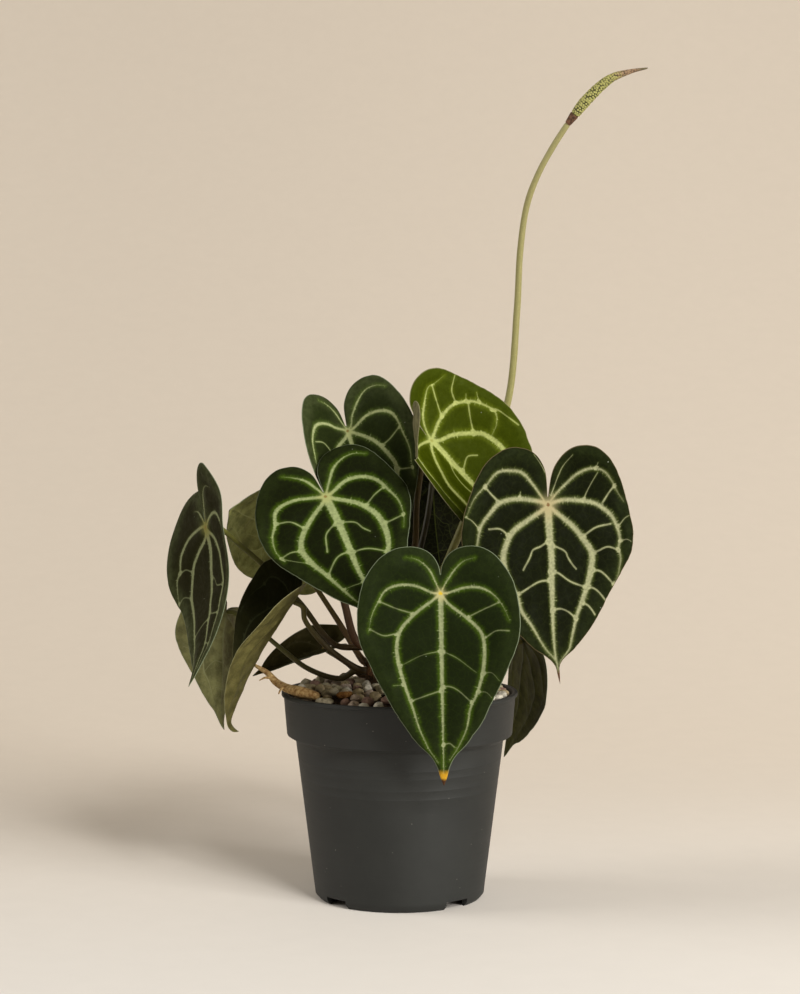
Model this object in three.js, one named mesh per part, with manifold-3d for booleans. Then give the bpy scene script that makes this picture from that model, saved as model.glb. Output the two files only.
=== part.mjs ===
import * as THREE from 'three';
import Module from 'manifold-3d';

// Potted Anthurium clarinervium in a 12 cm grower's pot.
// Millimetres, +Z up, origin on the ground at the pot's axis, the photographed side faces -Y.

const wasm = await Module();
wasm.setup();

// Clear gap kept between two pieces that touch in the real plant, and the
// little more that a faceted side needs
const TOUCH = 0.3;
const FACET_CLEAR = 0.15;

// Pot: outer radii and heights read from its outline in the photo
const POT = {
  height: 105, lipR: 60, lipUnder: 103.2, bandTopR: 58.9, bandBottomR: 57.2, bandBottom: 83.4,
  wallTopR: 52.8, wallTop: 81, heelR: 43, heel: 2.2, footR: 41.3, wall: 1.6,
  floorUnder: 3.5, floor: 5.2, footWall: 1.6, lipRound: 0.5, bandUnderLip: 0.6,
  innerStep: 0.8, floorRound: [1.4, 1.8], segments: 48,
};
const MOULD_RING_HEIGHTS = [71.7, 67.8, 61.9, 57.5];
const MOULD_RING = { proud: 0.35, halfHeight: 0.7 };
const FOOT_NOTCH = { count: 4, firstDeg: 42, width: 14, height: 3.2, cutLength: 20 };
const DRAIN = { count: 8, ringR: 27, holeR: 4, cutLength: 6, sides: 10 };

// Potting mix: fills the pot and is mounded a little above the rim
const MIX = {
  crown: 107.5, edgeDrop: 4.7, rimClear: 0.6, ringRadii: [45, 30, 15], floorRound: [1.6, 2.1], segments: 36,
};

// Crown: short domed stem from which every petiole leaves
const CROWN = { x: -6, y: 2, z: 113, radius: 12, arcs: 8, segments: 24 };

// Half outline of a blade as shares: across, of the half width; along, of the
// lobe length where negative and of the blade length where positive.
const HALF_OUTLINE = [
  [0, -0.12], [0.02, -0.54], [0.08, -0.76], [0.17, -0.91], [0.29, -0.99],
  [0.44, -1], [0.59, -0.91], [0.73, -0.71], [0.86, -0.38], [0.95, 0],
  [1, 0.12], [0.985, 0.23], [0.92, 0.32], [0.75, 0.47], [0.55, 0.635],
  [0.34, 0.765], [0.18, 0.84], [0.105, 0.9], [0.05, 0.96], [0, 1],
];
const BLADE = { thickness: 1, edgeThickness: 0.5, raysPerHalf: 16, rings: 4, ringPower: 0.8 };

// Part of the midrib, from here to the tip, that takes the hook bend
const HOOK_FROM = 0.8;
const MIDRIB_STEPS = 60;
const WAVES_PER_TURN = 5;

// Stems: straight length where one leaves the crown and where it meets a blade
const STEM = { straight: 5, sides: 8, steps: 14 };

// One row per leaf. at: where the petiole meets the blade. turn: which way the
// upper face looks, 0 is the viewer and -90 is left. tilt: how far the face
// looks up. spin: swing of the midrib in the blade's plane. long: attachment
// to tip. Pairs are [left half, right half] seen on the upper face: wide and
// lobe are shares of long, lobeBend, fold and curl are degrees.
// petiole: leaves the crown at azimuth and elevation, then passes the via points.
const LEAVES = [
  { name: 'front', at: [19.5, -77, 164.5], turn: -3, tilt: 3, spin: 1, long: 95,
    wide: [0.425, 0.405], lobe: [0.21, 0.21], gap: 0, droop: 8, hook: 0, lobeBend: [5, 5],
    fold: [1, 3], curl: [14, 15], wave: 0, phase: 0,
    petiole: { azimuth: -75, elevation: 15, via: [[6, -36, 136], [15, -60, 159]], baseR: 2.3, topR: 1.6 } },
  { name: 'right', at: [72.5, -40, 202], turn: 26, tilt: 1, spin: -1, long: 88,
    wide: [0.54, 0.52], lobe: [0.32, 0.35], gap: 0.01, droop: -18, hook: 0, lobeBend: [-3, -27],
    fold: [3, -3], curl: [-8, 25], wave: -1, phase: -15,
    petiole: { azimuth: -28, elevation: 20, via: [[26, -12, 130], [56, -20, 160], [68, -30, 188]],
      baseR: 2.3, topR: 1.6 } },
  { name: 'left', at: [-37, -16, 204.5], turn: -6, tilt: 39, spin: 25, long: 87,
    wide: [0.45, 0.45], lobe: [0.3, 0.31], gap: 0.005, droop: -4, hook: 0, lobeBend: [1, 1],
    fold: [-2, -1], curl: [8, 12], wave: -2, phase: -5,
    petiole: { azimuth: -125, elevation: 55, via: [[-21, -8, 130], [-27.5, -12, 150], [-34, -8, 180]],
      baseR: 2.3, topR: 1.6 } },
  { name: 'back_left', at: [-27, 28, 236], turn: 9, tilt: 26, spin: 11, long: 86,
    wide: [0.4, 0.45], lobe: [0.24, 0.29], gap: 0.02, droop: 20, hook: 0, lobeBend: [7, 7],
    fold: [26, 25], curl: [23, 23], wave: 0, phase: 0,
    petiole: { azimuth: 125, elevation: 55, via: [[-12, 26, 150], [-24, 46, 205]], baseR: 2.2, topR: 1.6 } },
  { name: 'young', at: [16, 0, 232], turn: 26, tilt: 23, spin: 38, long: 97,
    wide: [0.44, 0.43], lobe: [0.42, 0.35], gap: 0, droop: 8, hook: 0, lobeBend: [-105, -50],
    fold: [24, 12], curl: [32, 22], wave: 0, phase: 0, twist: 18,
    petiole: { azimuth: -10, elevation: 60,
      via: [[4, 8, 150], [8, 12, 178], [9, 14, 201]], baseR: 1.9, topR: 1.5 } },
  { name: 'outer_left', at: [-97, -12, 189], turn: -57, tilt: 0, spin: 25, long: 89,
    wide: [0.46, 0.41], lobe: [0.3, 0.33], gap: 0, droop: -37, hook: 0, lobeBend: [35, -10],
    fold: [-4, 1], curl: [18, 29], wave: 1.5, phase: 110,
    petiole: { azimuth: 172, elevation: 50,
      via: [[-33, 7, 127.5], [-51, 12, 148.5], [-67.5, 10, 166], [-80, 3, 178]],
      baseR: 1.6, topR: 1.3 } },
  { name: 'low_left', at: [-90.5, 34, 141.5], turn: -129, tilt: 0, spin: 11, long: 62,
    wide: [0.45, 0.45], lobe: [0.05, 0.15], gap: 0.005, droop: 14, hook: 25, lobeBend: [10, 10],
    fold: [12, 11], curl: [24, 22], wave: -1.5, phase: -10,
    petiole: { azimuth: 176, elevation: 5,
      via: [[-30, 5, 110.5], [-46, 9, 114.5], [-62.5, 17, 125.5], [-73, 23, 133.5]],
      baseR: 1.5, topR: 1.2 } },
  { name: 'curled', at: [-53, -22, 152.5], turn: -58, tilt: 25, spin: -28, long: 84,
    wide: [0.38, 0.39], lobe: [0.18, 0.19], gap: 0.01, droop: 17, hook: 92, lobeBend: [-3, -3],
    fold: [14, 34], curl: [22, 20], wave: 1, phase: -95, twist: 20,
    petiole: { azimuth: -150, elevation: 12,
      via: [[-37.5, -8, 129], [-47.5, -14, 142.5]], baseR: 1.6, topR: 1.3 } },
  { name: 'olive_back', at: [-60.5, 48, 178], turn: -150, tilt: 24, spin: 124, long: 75,
    wide: [0.36, 0.41], lobe: [0.5, 0.4], gap: 0.005, droop: 53, hook: 0, lobeBend: [0, 0],
    fold: [-16, -8], curl: [8, 16], wave: 0, phase: 0,
    petiole: { azimuth: 142, elevation: 20, via: [[-32, 24, 138], [-50, 36, 164]], baseR: 1.7, topR: 1.3 } },
  { name: 'small', at: [-39.5, 30, 123], turn: -21, tilt: 22, spin: -70, long: 45,
    wide: [0.3, 0.32], lobe: [0.31, 0.3], gap: 0.005, droop: 20, hook: 0, lobeBend: [7, 7],
    fold: [10, 52], curl: [14, 20], wave: -1, phase: -20,
    petiole: { azimuth: 145, elevation: -5, via: [[-27, 20, 116]], baseR: 1.4, topR: 1.1 } },
  { name: 'low_right', at: [65.5, 49, 124.5], turn: 105, tilt: 11, spin: 27, long: 76,
    wide: [0.42, 0.4], lobe: [0.26, 0.26], gap: 0.005, droop: 19, hook: 0, lobeBend: [11, 11],
    fold: [0, 0], curl: [6, 13], wave: -0.5, phase: 65,
    petiole: { azimuth: 27, elevation: 15, via: [[25, 22, 128], [48, 38, 132]], baseR: 1.9, topR: 1.4 } },
  { name: 'inner', at: [17.5, 54, 208.5], turn: 176, tilt: 10, spin: -4, long: 89,
    wide: [0.39, 0.39], lobe: [0.26, 0.26], gap: 0.005, droop: 12, hook: 0, lobeBend: [10, 10],
    fold: [12, 12], curl: [15, 15], wave: 0, phase: 0,
    petiole: { azimuth: 68, elevation: 15, via: [[5, 28, 150], [14, 40, 188]], baseR: 2, topR: 1.5 } },
];

// Flower stalk, the dried collar where the spathe stood, and the spadix
const PEDUNCLE = {
  azimuth: 48, elevation: 52, baseR: 2.2, topR: 1.5, sides: 10, steps: 22,
  via: [[16, 24, 150], [44, 35, 215], [56.5, 36, 252], [60.6, 28, 298.7], [61.7, 18, 329], [64.5, 8, 351.3],
    [69.6, 0, 366], [77.1, -7, 380], [84.3, -12.5, 391]],
};
const COLLAR = { radii: [1.8, 2.3, 2.4], length: 3.6, gap: 0.6, sides: 10, steps: 3 };
const SPADIX = {
  points: [[90.6, -16, 399.1], [94.8, -18, 403.6], [100, -20, 408.4], [104.9, -22, 411.7], [113.2, -24, 414.3],
    [121.8, -26, 415.8]],
  radii: [2.3, 2.8, 2.7, 2.4, 1.8, 1, 0.35],
  sides: 12, steps: 12,
};

// Woody aerial root that lies on the left of the rim
const AERIAL_ROOT = {
  points: [[-40, -34, 106.6], [-49, -26, 107.8], [-57.4, -13, 108.2], [-62.5, -7.5, 110.4], [-67, -5, 114.6],
    [-74, -3, 118.6]],
  radii: [2, 2.9, 2.6, 2.2, 1.7, 0.8],
  sides: 8, steps: 12,
};

// Papery brown sheaths left round the crown
const SHEATHS = [
  { name: 'sheath_left', azimuth: 240, length: 22 },
  { name: 'sheath_back', azimuth: 100, length: 20 },
  { name: 'sheath_right', azimuth: -2, length: 18 },
];
const SHEATH = {
  elevation: 5, halfWidth: 3, tipHalfWidth: 0.4, flatness: 0.45, reach: 0.6, rise: 0.85, sides: 8,
};

// Loose pieces on the mix: [x, y, half length, half width, half height, turn deg]
const STONES = [
  [-48, 16, 3.4, 2.8, 2.6, 20], [-41, 22, 3.2, 2.9, 2.7, 70], [-36, 13, 3, 2.7, 2.4, 120],
  [-43, 7.5, 3.1, 2.5, 2.3, 10], [-50, -3, 3, 2.6, 2.4, 50], [-40.5, -11, 3.2, 2.7, 2.4, 95],
  [-33, -24, 3, 2.5, 2.3, 30], [-29, 28, 3.3, 2.8, 2.5, 60], [-22, -40, 3.1, 2.4, 2.1, 140],
  [-6, -46, 3.2, 2.7, 2.2, 15], [12, 42, 3.3, 2.9, 2.6, 80], [34, 26, 3.2, 2.6, 2.4, 25],
  [47, -8, 3.3, 2.7, 2.4, 110], [40, -26, 3, 2.6, 2.3, 65], [20, -38, 3.2, 2.5, 2.3, 5],
];
const BARK = [
  [-27, -31, 5, 2.6, 1.9, 35], [29, -9, 5.5, 2.8, 2, 100], [-14, 40, 5, 2.6, 1.9, 160],
];
// Exponent of a loose piece's sides: 1 is round, less is squarer
const SQUARENESS = { stone: 1, bark: 0.8 };

const COLOURS = {
  pot: [0x3d3e3b, 0.5], mix: [0x3b2a20, 0.95], crown: [0x3a2c1f, 0.85], blade: [0x1f3420, 0.45],
  young: [0x4f6d1f, 0.42], petiole: [0x5a5a34, 0.5], peduncle: [0xa3a667, 0.5], collar: [0x5a3b22, 0.8],
  spadix: [0x8a8f45, 0.65], root: [0xa37b42, 0.8], sheath: [0x4a2f20, 0.85], stone: [0xb3a48c, 0.9],
  bark: [0x8a5a2c, 0.9],
};

const part = new THREE.Group();
part.name = 'potted_anthurium_clarinervium';

const rad = THREE.MathUtils.degToRad;
const vec = (p) => new THREE.Vector3(p[0], p[1], p[2]);

function add(name, geometry, look) {
  const [color, roughness] = COLOURS[look];
  geometry.computeVertexNormals();
  const mesh = new THREE.Mesh(geometry, new THREE.MeshStandardMaterial({ color, roughness, metalness: 0 }));
  mesh.name = name;
  part.add(mesh);
}

function indexed(points, triangles) {
  const geometry = new THREE.BufferGeometry();
  const numbers = points.flatMap((p) => [p.x, p.y, p.z]);
  geometry.setAttribute('position', new THREE.Float32BufferAttribute(numbers, 3));
  geometry.setIndex(triangles);
  return geometry;
}

// Cutting with solids

function toSolid(geometry) {
  const position = geometry.getAttribute('position');
  const keys = new Map();
  const vertices = [];
  const remap = [];
  for (let i = 0; i < position.count; i += 1) {
    const p = [position.getX(i), position.getY(i), position.getZ(i)];
    const key = p.map((v) => Math.round(v * 1e4)).join(',');
    if (!keys.has(key)) {
      keys.set(key, vertices.length / 3);
      vertices.push(...p);
    }
    remap.push(keys.get(key));
  }
  const source = geometry.index ? Array.from(geometry.index.array) : remap.map((_, i) => i);
  const triangles = [];
  for (let i = 0; i < source.length; i += 3) {
    const [a, b, c] = [remap[source[i]], remap[source[i + 1]], remap[source[i + 2]]];
    if (a !== b && b !== c && c !== a) triangles.push(a, b, c);
  }
  const mesh = new wasm.Mesh({
    numProp: 3, vertProperties: new Float32Array(vertices), triVerts: new Uint32Array(triangles),
  });
  return new wasm.Manifold(mesh);
}

function fromSolid(solid) {
  const mesh = solid.getMesh();
  const points = [];
  for (let i = 0; i < mesh.vertProperties.length; i += mesh.numProp) {
    points.push(new THREE.Vector3().fromArray(mesh.vertProperties, i));
  }
  return indexed(points, Array.from(mesh.triVerts));
}

// Turned bodies: the profile is [radius, height] from the axis and back to it

function turned(profile, segments) {
  const points = profile.map(([r, z]) => new THREE.Vector2(r, z));
  const geometry = new THREE.LatheGeometry(points, segments);
  geometry.rotateX(Math.PI / 2);
  return geometry;
}

// Closed round body swept along a curve, with its own radius at each point

function swept(points, radii, sides, steps, flatten = 1) {
  const curve = new THREE.CatmullRomCurve3(points, false, 'centripetal');
  const frames = curve.computeFrenetFrames(steps, false);
  const radiusAt = (u) => {
    const t = u * (radii.length - 1);
    const i = Math.min(Math.floor(t), radii.length - 2);
    return THREE.MathUtils.lerp(radii[i], radii[i + 1], t - i);
  };
  const vertices = [];
  const triangles = [];
  for (let i = 0; i <= steps; i += 1) {
    const centre = curve.getPointAt(i / steps);
    for (let k = 0; k < sides; k += 1) {
      const angle = (2 * Math.PI * k) / sides;
      const r = radiusAt(i / steps);
      vertices.push(centre.clone()
        .addScaledVector(frames.normals[i], r * Math.cos(angle))
        .addScaledVector(frames.binormals[i], r * flatten * Math.sin(angle)));
    }
  }
  for (let i = 0; i < steps; i += 1) {
    for (let k = 0; k < sides; k += 1) {
      const a = i * sides + k;
      const b = i * sides + ((k + 1) % sides);
      triangles.push(a, b, b + sides, a, b + sides, a + sides);
    }
  }
  const last = steps * sides;
  for (let k = 1; k < sides - 1; k += 1) {
    triangles.push(0, k + 1, k, last, last + k, last + k + 1);
  }
  return indexed(vertices, triangles);
}

// Blades

function halfOutline(leaf, side) {
  const half = side > 0 ? 1 : 0;
  const width = leaf.wide[half] * leaf.long;
  const lobe = leaf.lobe[half] * leaf.long;
  const points = HALF_OUTLINE.map(([across, along]) => {
    const inLobe = along < 0;
    const slit = inLobe ? leaf.gap * leaf.long * -along * (1 - across) : 0;
    const x = across * width + slit;
    return new THREE.Vector3(side * x, along * (inLobe ? lobe : leaf.long), 0);
  });
  return new THREE.CatmullRomCurve3(points, false, 'catmullrom', 0.5).getSpacedPoints(BLADE.raysPerHalf);
}

// Height and reach of the bent midrib at a distance along it
function midribAt(leaf, along, side) {
  if (along <= 0) {
    const lobe = leaf.lobe[side > 0 ? 1 : 0] * leaf.long;
    const rate = (rad(leaf.lobeBend[side > 0 ? 1 : 0]) || 1e-6) / lobe;
    const angle = rate * -along;
    return { reach: -Math.sin(angle) / rate, rise: -(1 - Math.cos(angle)) / rate, angle: -angle };
  }
  const angleAt = (u) => rad(leaf.droop) * u
    + rad(leaf.hook) * THREE.MathUtils.clamp((u - HOOK_FROM) / (1 - HOOK_FROM), 0, 1) ** 2;
  let reach = 0;
  let rise = 0;
  const step = along / MIDRIB_STEPS;
  for (let i = 0; i < MIDRIB_STEPS; i += 1) {
    const angle = angleAt(((i + 0.5) * step) / leaf.long);
    reach += Math.cos(angle) * step;
    rise -= Math.sin(angle) * step;
  }
  return { reach, rise, angle: angleAt(along / leaf.long) };
}

// The first direction turned by an angle towards the second, square to it
function mixed(first, second, angle) {
  return first.clone().multiplyScalar(Math.cos(angle)).addScaledVector(second, Math.sin(angle));
}

function leafAxes(leaf) {
  const [turn, tilt, spin] = [rad(leaf.turn), rad(leaf.tilt), rad(leaf.spin)];
  const face = new THREE.Vector3(
    Math.sin(turn) * Math.cos(tilt), -Math.cos(turn) * Math.cos(tilt), Math.sin(tilt));
  const down = new THREE.Vector3(
    Math.sin(turn) * Math.sin(tilt), -Math.cos(turn) * Math.sin(tilt), -Math.cos(tilt));
  const level = new THREE.Vector3(Math.cos(turn), Math.sin(turn), 0);
  return { face, midrib: mixed(down, level, spin), across: mixed(level, down, -spin) };
}

// Point of the blade's middle surface, from flat coordinates to the plant
function bladePoint(leaf, axes, x, y) {
  const side = x > 0 ? 1 : -1;
  const half = side > 0 ? 1 : 0;
  const halfWidth = ((leaf.wide[0] + leaf.wide[1]) / 2) * leaf.long;
  const { reach, rise, angle } = midribAt(leaf, y, side);
  const fold = rad(leaf.fold[half]);
  const bend = (rad(leaf.curl[half]) || 1e-6) / halfWidth;
  const away = Math.abs(x);
  const out = (Math.sin(fold + bend * away) - Math.sin(fold)) / bend;
  let lift = -(Math.cos(fold + bend * away) - Math.cos(fold)) / bend;
  const share = Math.min(Math.hypot(x / halfWidth, y / leaf.long), 1.2);
  lift += leaf.wave * share * share * Math.sin(WAVES_PER_TURN * Math.atan2(x, y + 1e-9) + rad(leaf.phase));
  const twist = (rad(leaf.twist || 0) * y) / leaf.long;
  const straight = mixed(axes.face, axes.midrib, angle);
  const across = mixed(axes.across, straight, twist);
  const normal = mixed(straight, axes.across, -twist);
  return vec(leaf.at)
    .addScaledVector(axes.midrib, reach)
    .addScaledVector(axes.face, rise)
    .addScaledVector(across, side * out)
    .addScaledVector(normal, lift);
}

function bladeGeometry(leaf) {
  const axes = leafAxes(leaf);
  const right = halfOutline(leaf, 1);
  const left = halfOutline(leaf, -1);
  const rim = [...right.slice(0, -1), ...left.slice(1).reverse()];
  const count = rim.length;
  const flat = [new THREE.Vector3()];
  for (let ring = 1; ring <= BLADE.rings; ring += 1) {
    const share = (ring / BLADE.rings) ** BLADE.ringPower;
    rim.forEach((p) => flat.push(p.clone().multiplyScalar(share)));
  }
  const middle = flat.map((p) => bladePoint(leaf, axes, p.x, p.y));
  const face = [];
  for (let i = 0; i < count; i += 1) {
    const j = (i + 1) % count;
    face.push(0, 1 + i, 1 + j);
    for (let ring = 0; ring < BLADE.rings - 1; ring += 1) {
      const a = 1 + ring * count + i;
      const b = 1 + ring * count + j;
      face.push(a, a + count, b + count, a, b + count, b);
    }
  }
  const skin = indexed(middle, face);
  skin.computeVertexNormals();
  const normals = skin.getAttribute('normal');
  const sheet = (sign) => middle.map((p, i) => {
    const atEdge = i > (BLADE.rings - 1) * count;
    const half = (atEdge ? BLADE.edgeThickness : BLADE.thickness) / 2;
    return p.clone().addScaledVector(new THREE.Vector3().fromBufferAttribute(normals, i), sign * half);
  });
  const points = [...sheet(1), ...sheet(-1)];
  const under = middle.length;
  const triangles = [...face];
  for (let i = 0; i < face.length; i += 3) {
    triangles.push(under + face[i], under + face[i + 2], under + face[i + 1]);
  }
  const outer = 1 + (BLADE.rings - 1) * count;
  for (let i = 0; i < count; i += 1) {
    const a = outer + i;
    const b = outer + ((i + 1) % count);
    triangles.push(a, under + a, under + b, a, under + b, b);
  }
  return indexed(points, triangles);
}

// Stems leave the crown square to its surface

function crownDirection(azimuth, elevation) {
  const [a, e] = [rad(azimuth), rad(elevation)];
  return new THREE.Vector3(Math.cos(a) * Math.cos(e), Math.sin(a) * Math.cos(e), Math.sin(e));
}

function crownStart(azimuth, elevation) {
  const direction = crownDirection(azimuth, elevation);
  const centre = new THREE.Vector3(CROWN.x, CROWN.y, CROWN.z);
  const first = centre.clone().addScaledVector(direction, CROWN.radius + TOUCH);
  const second = centre.clone().addScaledVector(direction, CROWN.radius + STEM.straight);
  return [first, second];
}

function petioleGeometry(leaf) {
  const { azimuth, elevation, via, baseR, topR } = leaf.petiole;
  const { face } = leafAxes(leaf);
  // A blade folded backwards wraps round the stem's end, which then stops shorter
  const wrap = topR * Math.tan(rad(Math.max(0, -leaf.fold[0], -leaf.fold[1])));
  const end = vec(leaf.at).addScaledVector(face, -(BLADE.thickness / 2 + TOUCH + FACET_CLEAR + wrap));
  const before = end.clone().addScaledVector(face, -STEM.straight);
  const points = [...crownStart(azimuth, elevation), ...via.map(vec), before, end];
  return swept(points, [baseR, (baseR + topR) / 2, topR, topR], STEM.sides, STEM.steps);
}

// The pot

function potProfile() {
  const p = POT;
  const slope = (p.wallTopR - p.heelR) / (p.wallTop - p.heel);
  const wallR = (z) => p.heelR + slope * (z - p.heel);
  const rings = [...MOULD_RING_HEIGHTS].reverse().flatMap((z) => [
    [wallR(z - MOULD_RING.halfHeight), z - MOULD_RING.halfHeight],
    [wallR(z) + MOULD_RING.proud, z],
    [wallR(z + MOULD_RING.halfHeight), z + MOULD_RING.halfHeight],
  ]);
  const foot = [
    [0, p.floorUnder], [p.footR - p.footWall, p.floorUnder], [p.footR - p.footWall, 0],
    [p.footR, 0], [p.heelR, p.heel],
  ];
  const band = [
    [p.wallTopR, p.wallTop], [p.bandBottomR, p.bandBottom], [p.bandTopR, p.lipUnder - p.bandUnderLip],
  ];
  const lip = [
    [p.lipR, p.lipUnder], [p.lipR, p.height - p.lipRound], [p.lipR - p.lipRound, p.height],
    [p.bandTopR - p.wall + p.lipRound, p.height], [p.bandTopR - p.wall, p.height - p.lipRound],
  ];
  const inside = [
    [p.bandBottomR - p.wall, p.bandBottom + p.innerStep], [p.wallTopR - p.wall, p.wallTop + p.innerStep],
    [p.heelR - p.wall, p.floor + p.floorRound[1]], [p.heelR - p.wall - p.floorRound[0], p.floor],
    [0, p.floor],
  ];
  return [...foot, ...rings, ...band, ...lip, ...inside];
}

function potGeometry() {
  let pot = toSolid(turned(potProfile(), POT.segments));
  for (let i = 0; i < FOOT_NOTCH.count; i += 1) {
    const notch = new THREE.BoxGeometry(FOOT_NOTCH.cutLength, FOOT_NOTCH.width, FOOT_NOTCH.height * 2);
    notch.translate(POT.footR, 0, 0);
    notch.rotateZ(rad(FOOT_NOTCH.firstDeg + (i * 360) / FOOT_NOTCH.count));
    pot = pot.subtract(toSolid(notch));
  }
  for (let i = 0; i < DRAIN.count; i += 1) {
    const hole = new THREE.CylinderGeometry(DRAIN.holeR, DRAIN.holeR, DRAIN.cutLength, DRAIN.sides);
    hole.rotateX(Math.PI / 2);
    const angle = (2 * Math.PI * i) / DRAIN.count;
    const floorMiddle = (POT.floor + POT.floorUnder) / 2;
    hole.translate(DRAIN.ringR * Math.cos(angle), DRAIN.ringR * Math.sin(angle), floorMiddle);
    pot = pot.subtract(toSolid(hole));
  }
  return fromSolid(pot);
}

// The potting mix and what lies on it

const mixEdgeR = POT.bandTopR - POT.wall - MIX.rimClear;
const mixTop = (r) => MIX.crown - MIX.edgeDrop * (r / mixEdgeR) ** 2;

function mixGeometry() {
  const p = POT;
  const inner = p.wall + TOUCH + FACET_CLEAR;
  const rise = p.innerStep + 2 * TOUCH;
  const radii = [mixEdgeR, ...MIX.ringRadii, 0];
  return turned([
    [0, p.floor + TOUCH], [p.heelR - inner - MIX.floorRound[0], p.floor + TOUCH],
    [p.heelR - inner, p.floor + MIX.floorRound[1]],
    [p.wallTopR - inner, p.wallTop + rise], [p.bandBottomR - inner, p.bandBottom + rise],
    ...radii.map((r) => [r, mixTop(r)]),
  ], MIX.segments);
}

function crownGeometry() {
  const foot = mixTop(0) + TOUCH;
  const profile = [[0, foot]];
  const firstAngle = Math.asin((foot - CROWN.z) / CROWN.radius);
  for (let i = 0; i < CROWN.arcs; i += 1) {
    const angle = firstAngle + ((Math.PI / 2 - firstAngle) * i) / CROWN.arcs;
    profile.push([CROWN.radius * Math.cos(angle), CROWN.z + CROWN.radius * Math.sin(angle)]);
  }
  profile.push([0, CROWN.z + CROWN.radius]);
  const geometry = turned(profile, CROWN.segments);
  geometry.translate(CROWN.x, CROWN.y, 0);
  return geometry;
}

// Rounded loose piece, a little different for each index
function loosePiece([x, y, halfLength, halfWidth, halfHeight, turn], index, squareness) {
  const geometry = new THREE.IcosahedronGeometry(1, 1);
  const position = geometry.getAttribute('position');
  for (let i = 0; i < position.count; i += 1) {
    const p = new THREE.Vector3().fromBufferAttribute(position, i);
    const uneven = 1 + 0.07 * Math.sin(3 * p.x + index) + 0.06 * Math.sin(4 * p.y + 2 * index);
    const x1 = Math.sign(p.x) * Math.abs(p.x) ** squareness;
    const y1 = Math.sign(p.y) * Math.abs(p.y) ** squareness;
    position.setXYZ(i, x1 * halfLength * uneven, y1 * halfWidth * uneven, p.z * halfHeight);
  }
  geometry.rotateZ(rad(turn));
  geometry.translate(x, y, mixTop(Math.hypot(x, y)) + halfHeight + TOUCH + FACET_CLEAR);
  return fromSolid(toSolid(geometry));
}

function sheathGeometry({ azimuth, length }) {
  const out = crownDirection(azimuth, SHEATH.elevation);
  const [first, second] = crownStart(azimuth, SHEATH.elevation);
  const up = new THREE.Vector3(0, 0, length);
  const middle = second.clone().addScaledVector(up, SHEATH.rise / 3);
  const tip = first.clone().addScaledVector(out, length * SHEATH.reach).addScaledVector(up, SHEATH.rise);
  const wide = SHEATH.halfWidth;
  const halfWidths = [wide * 0.7, wide, wide * 0.7, SHEATH.tipHalfWidth];
  return swept([first, second, middle, tip], halfWidths, SHEATH.sides, SHEATH.sides, SHEATH.flatness);
}

add('nursery_pot', potGeometry(), 'pot');
add('potting_mix', mixGeometry(), 'mix');
add('crown_stem', crownGeometry(), 'crown');
LEAVES.forEach((leaf) => {
  add(`blade_${leaf.name}`, bladeGeometry(leaf), leaf.name === 'young' ? 'young' : 'blade');
  add(`petiole_${leaf.name}`, petioleGeometry(leaf), 'petiole');
});

const stalk = [...crownStart(PEDUNCLE.azimuth, PEDUNCLE.elevation), ...PEDUNCLE.via.map(vec)];
const stalkEnd = stalk[stalk.length - 1];
const onward = vec(SPADIX.points[0]).sub(stalkEnd).normalize();
const past = (distance) => stalkEnd.clone().addScaledVector(onward, distance);
const collarEnd = COLLAR.gap + COLLAR.length;
const collarLine = [past(COLLAR.gap), past(COLLAR.gap + COLLAR.length / 2), past(collarEnd)];
const spadixLine = [past(collarEnd + TOUCH), ...SPADIX.points.map(vec)];
const alongLine = (line, radii, { sides, steps }) => swept(line, radii, sides, steps);
add('peduncle', alongLine(stalk, [PEDUNCLE.baseR, PEDUNCLE.topR], PEDUNCLE), 'peduncle');
add('collar', alongLine(collarLine, COLLAR.radii, COLLAR), 'collar');
add('spadix', alongLine(spadixLine, SPADIX.radii, SPADIX), 'spadix');
add('aerial_root', alongLine(AERIAL_ROOT.points.map(vec), AERIAL_ROOT.radii, AERIAL_ROOT), 'root');
SHEATHS.forEach((sheath) => add(sheath.name, sheathGeometry(sheath), 'sheath'));
STONES.forEach((stone, i) => add(`stone_${i + 1}`, loosePiece(stone, i, SQUARENESS.stone), 'stone'));
BARK.forEach((chip, i) => add(`bark_${i + 1}`, loosePiece(chip, i + STONES.length, SQUARENESS.bark), 'bark'));

export default part;
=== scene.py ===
"""Potted Anthurium clarinervium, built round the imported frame.

Metres and degrees, +Z up, the photographed side faces -Y.
"""
import math
from dataclasses import dataclass

import bmesh
import bpy
import numpy as np
from bpy.props import FloatProperty, FloatVectorProperty, IntProperty, PointerProperty
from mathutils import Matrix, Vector, noise
from mathutils.geometry import delaunay_2d_cdt


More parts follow.
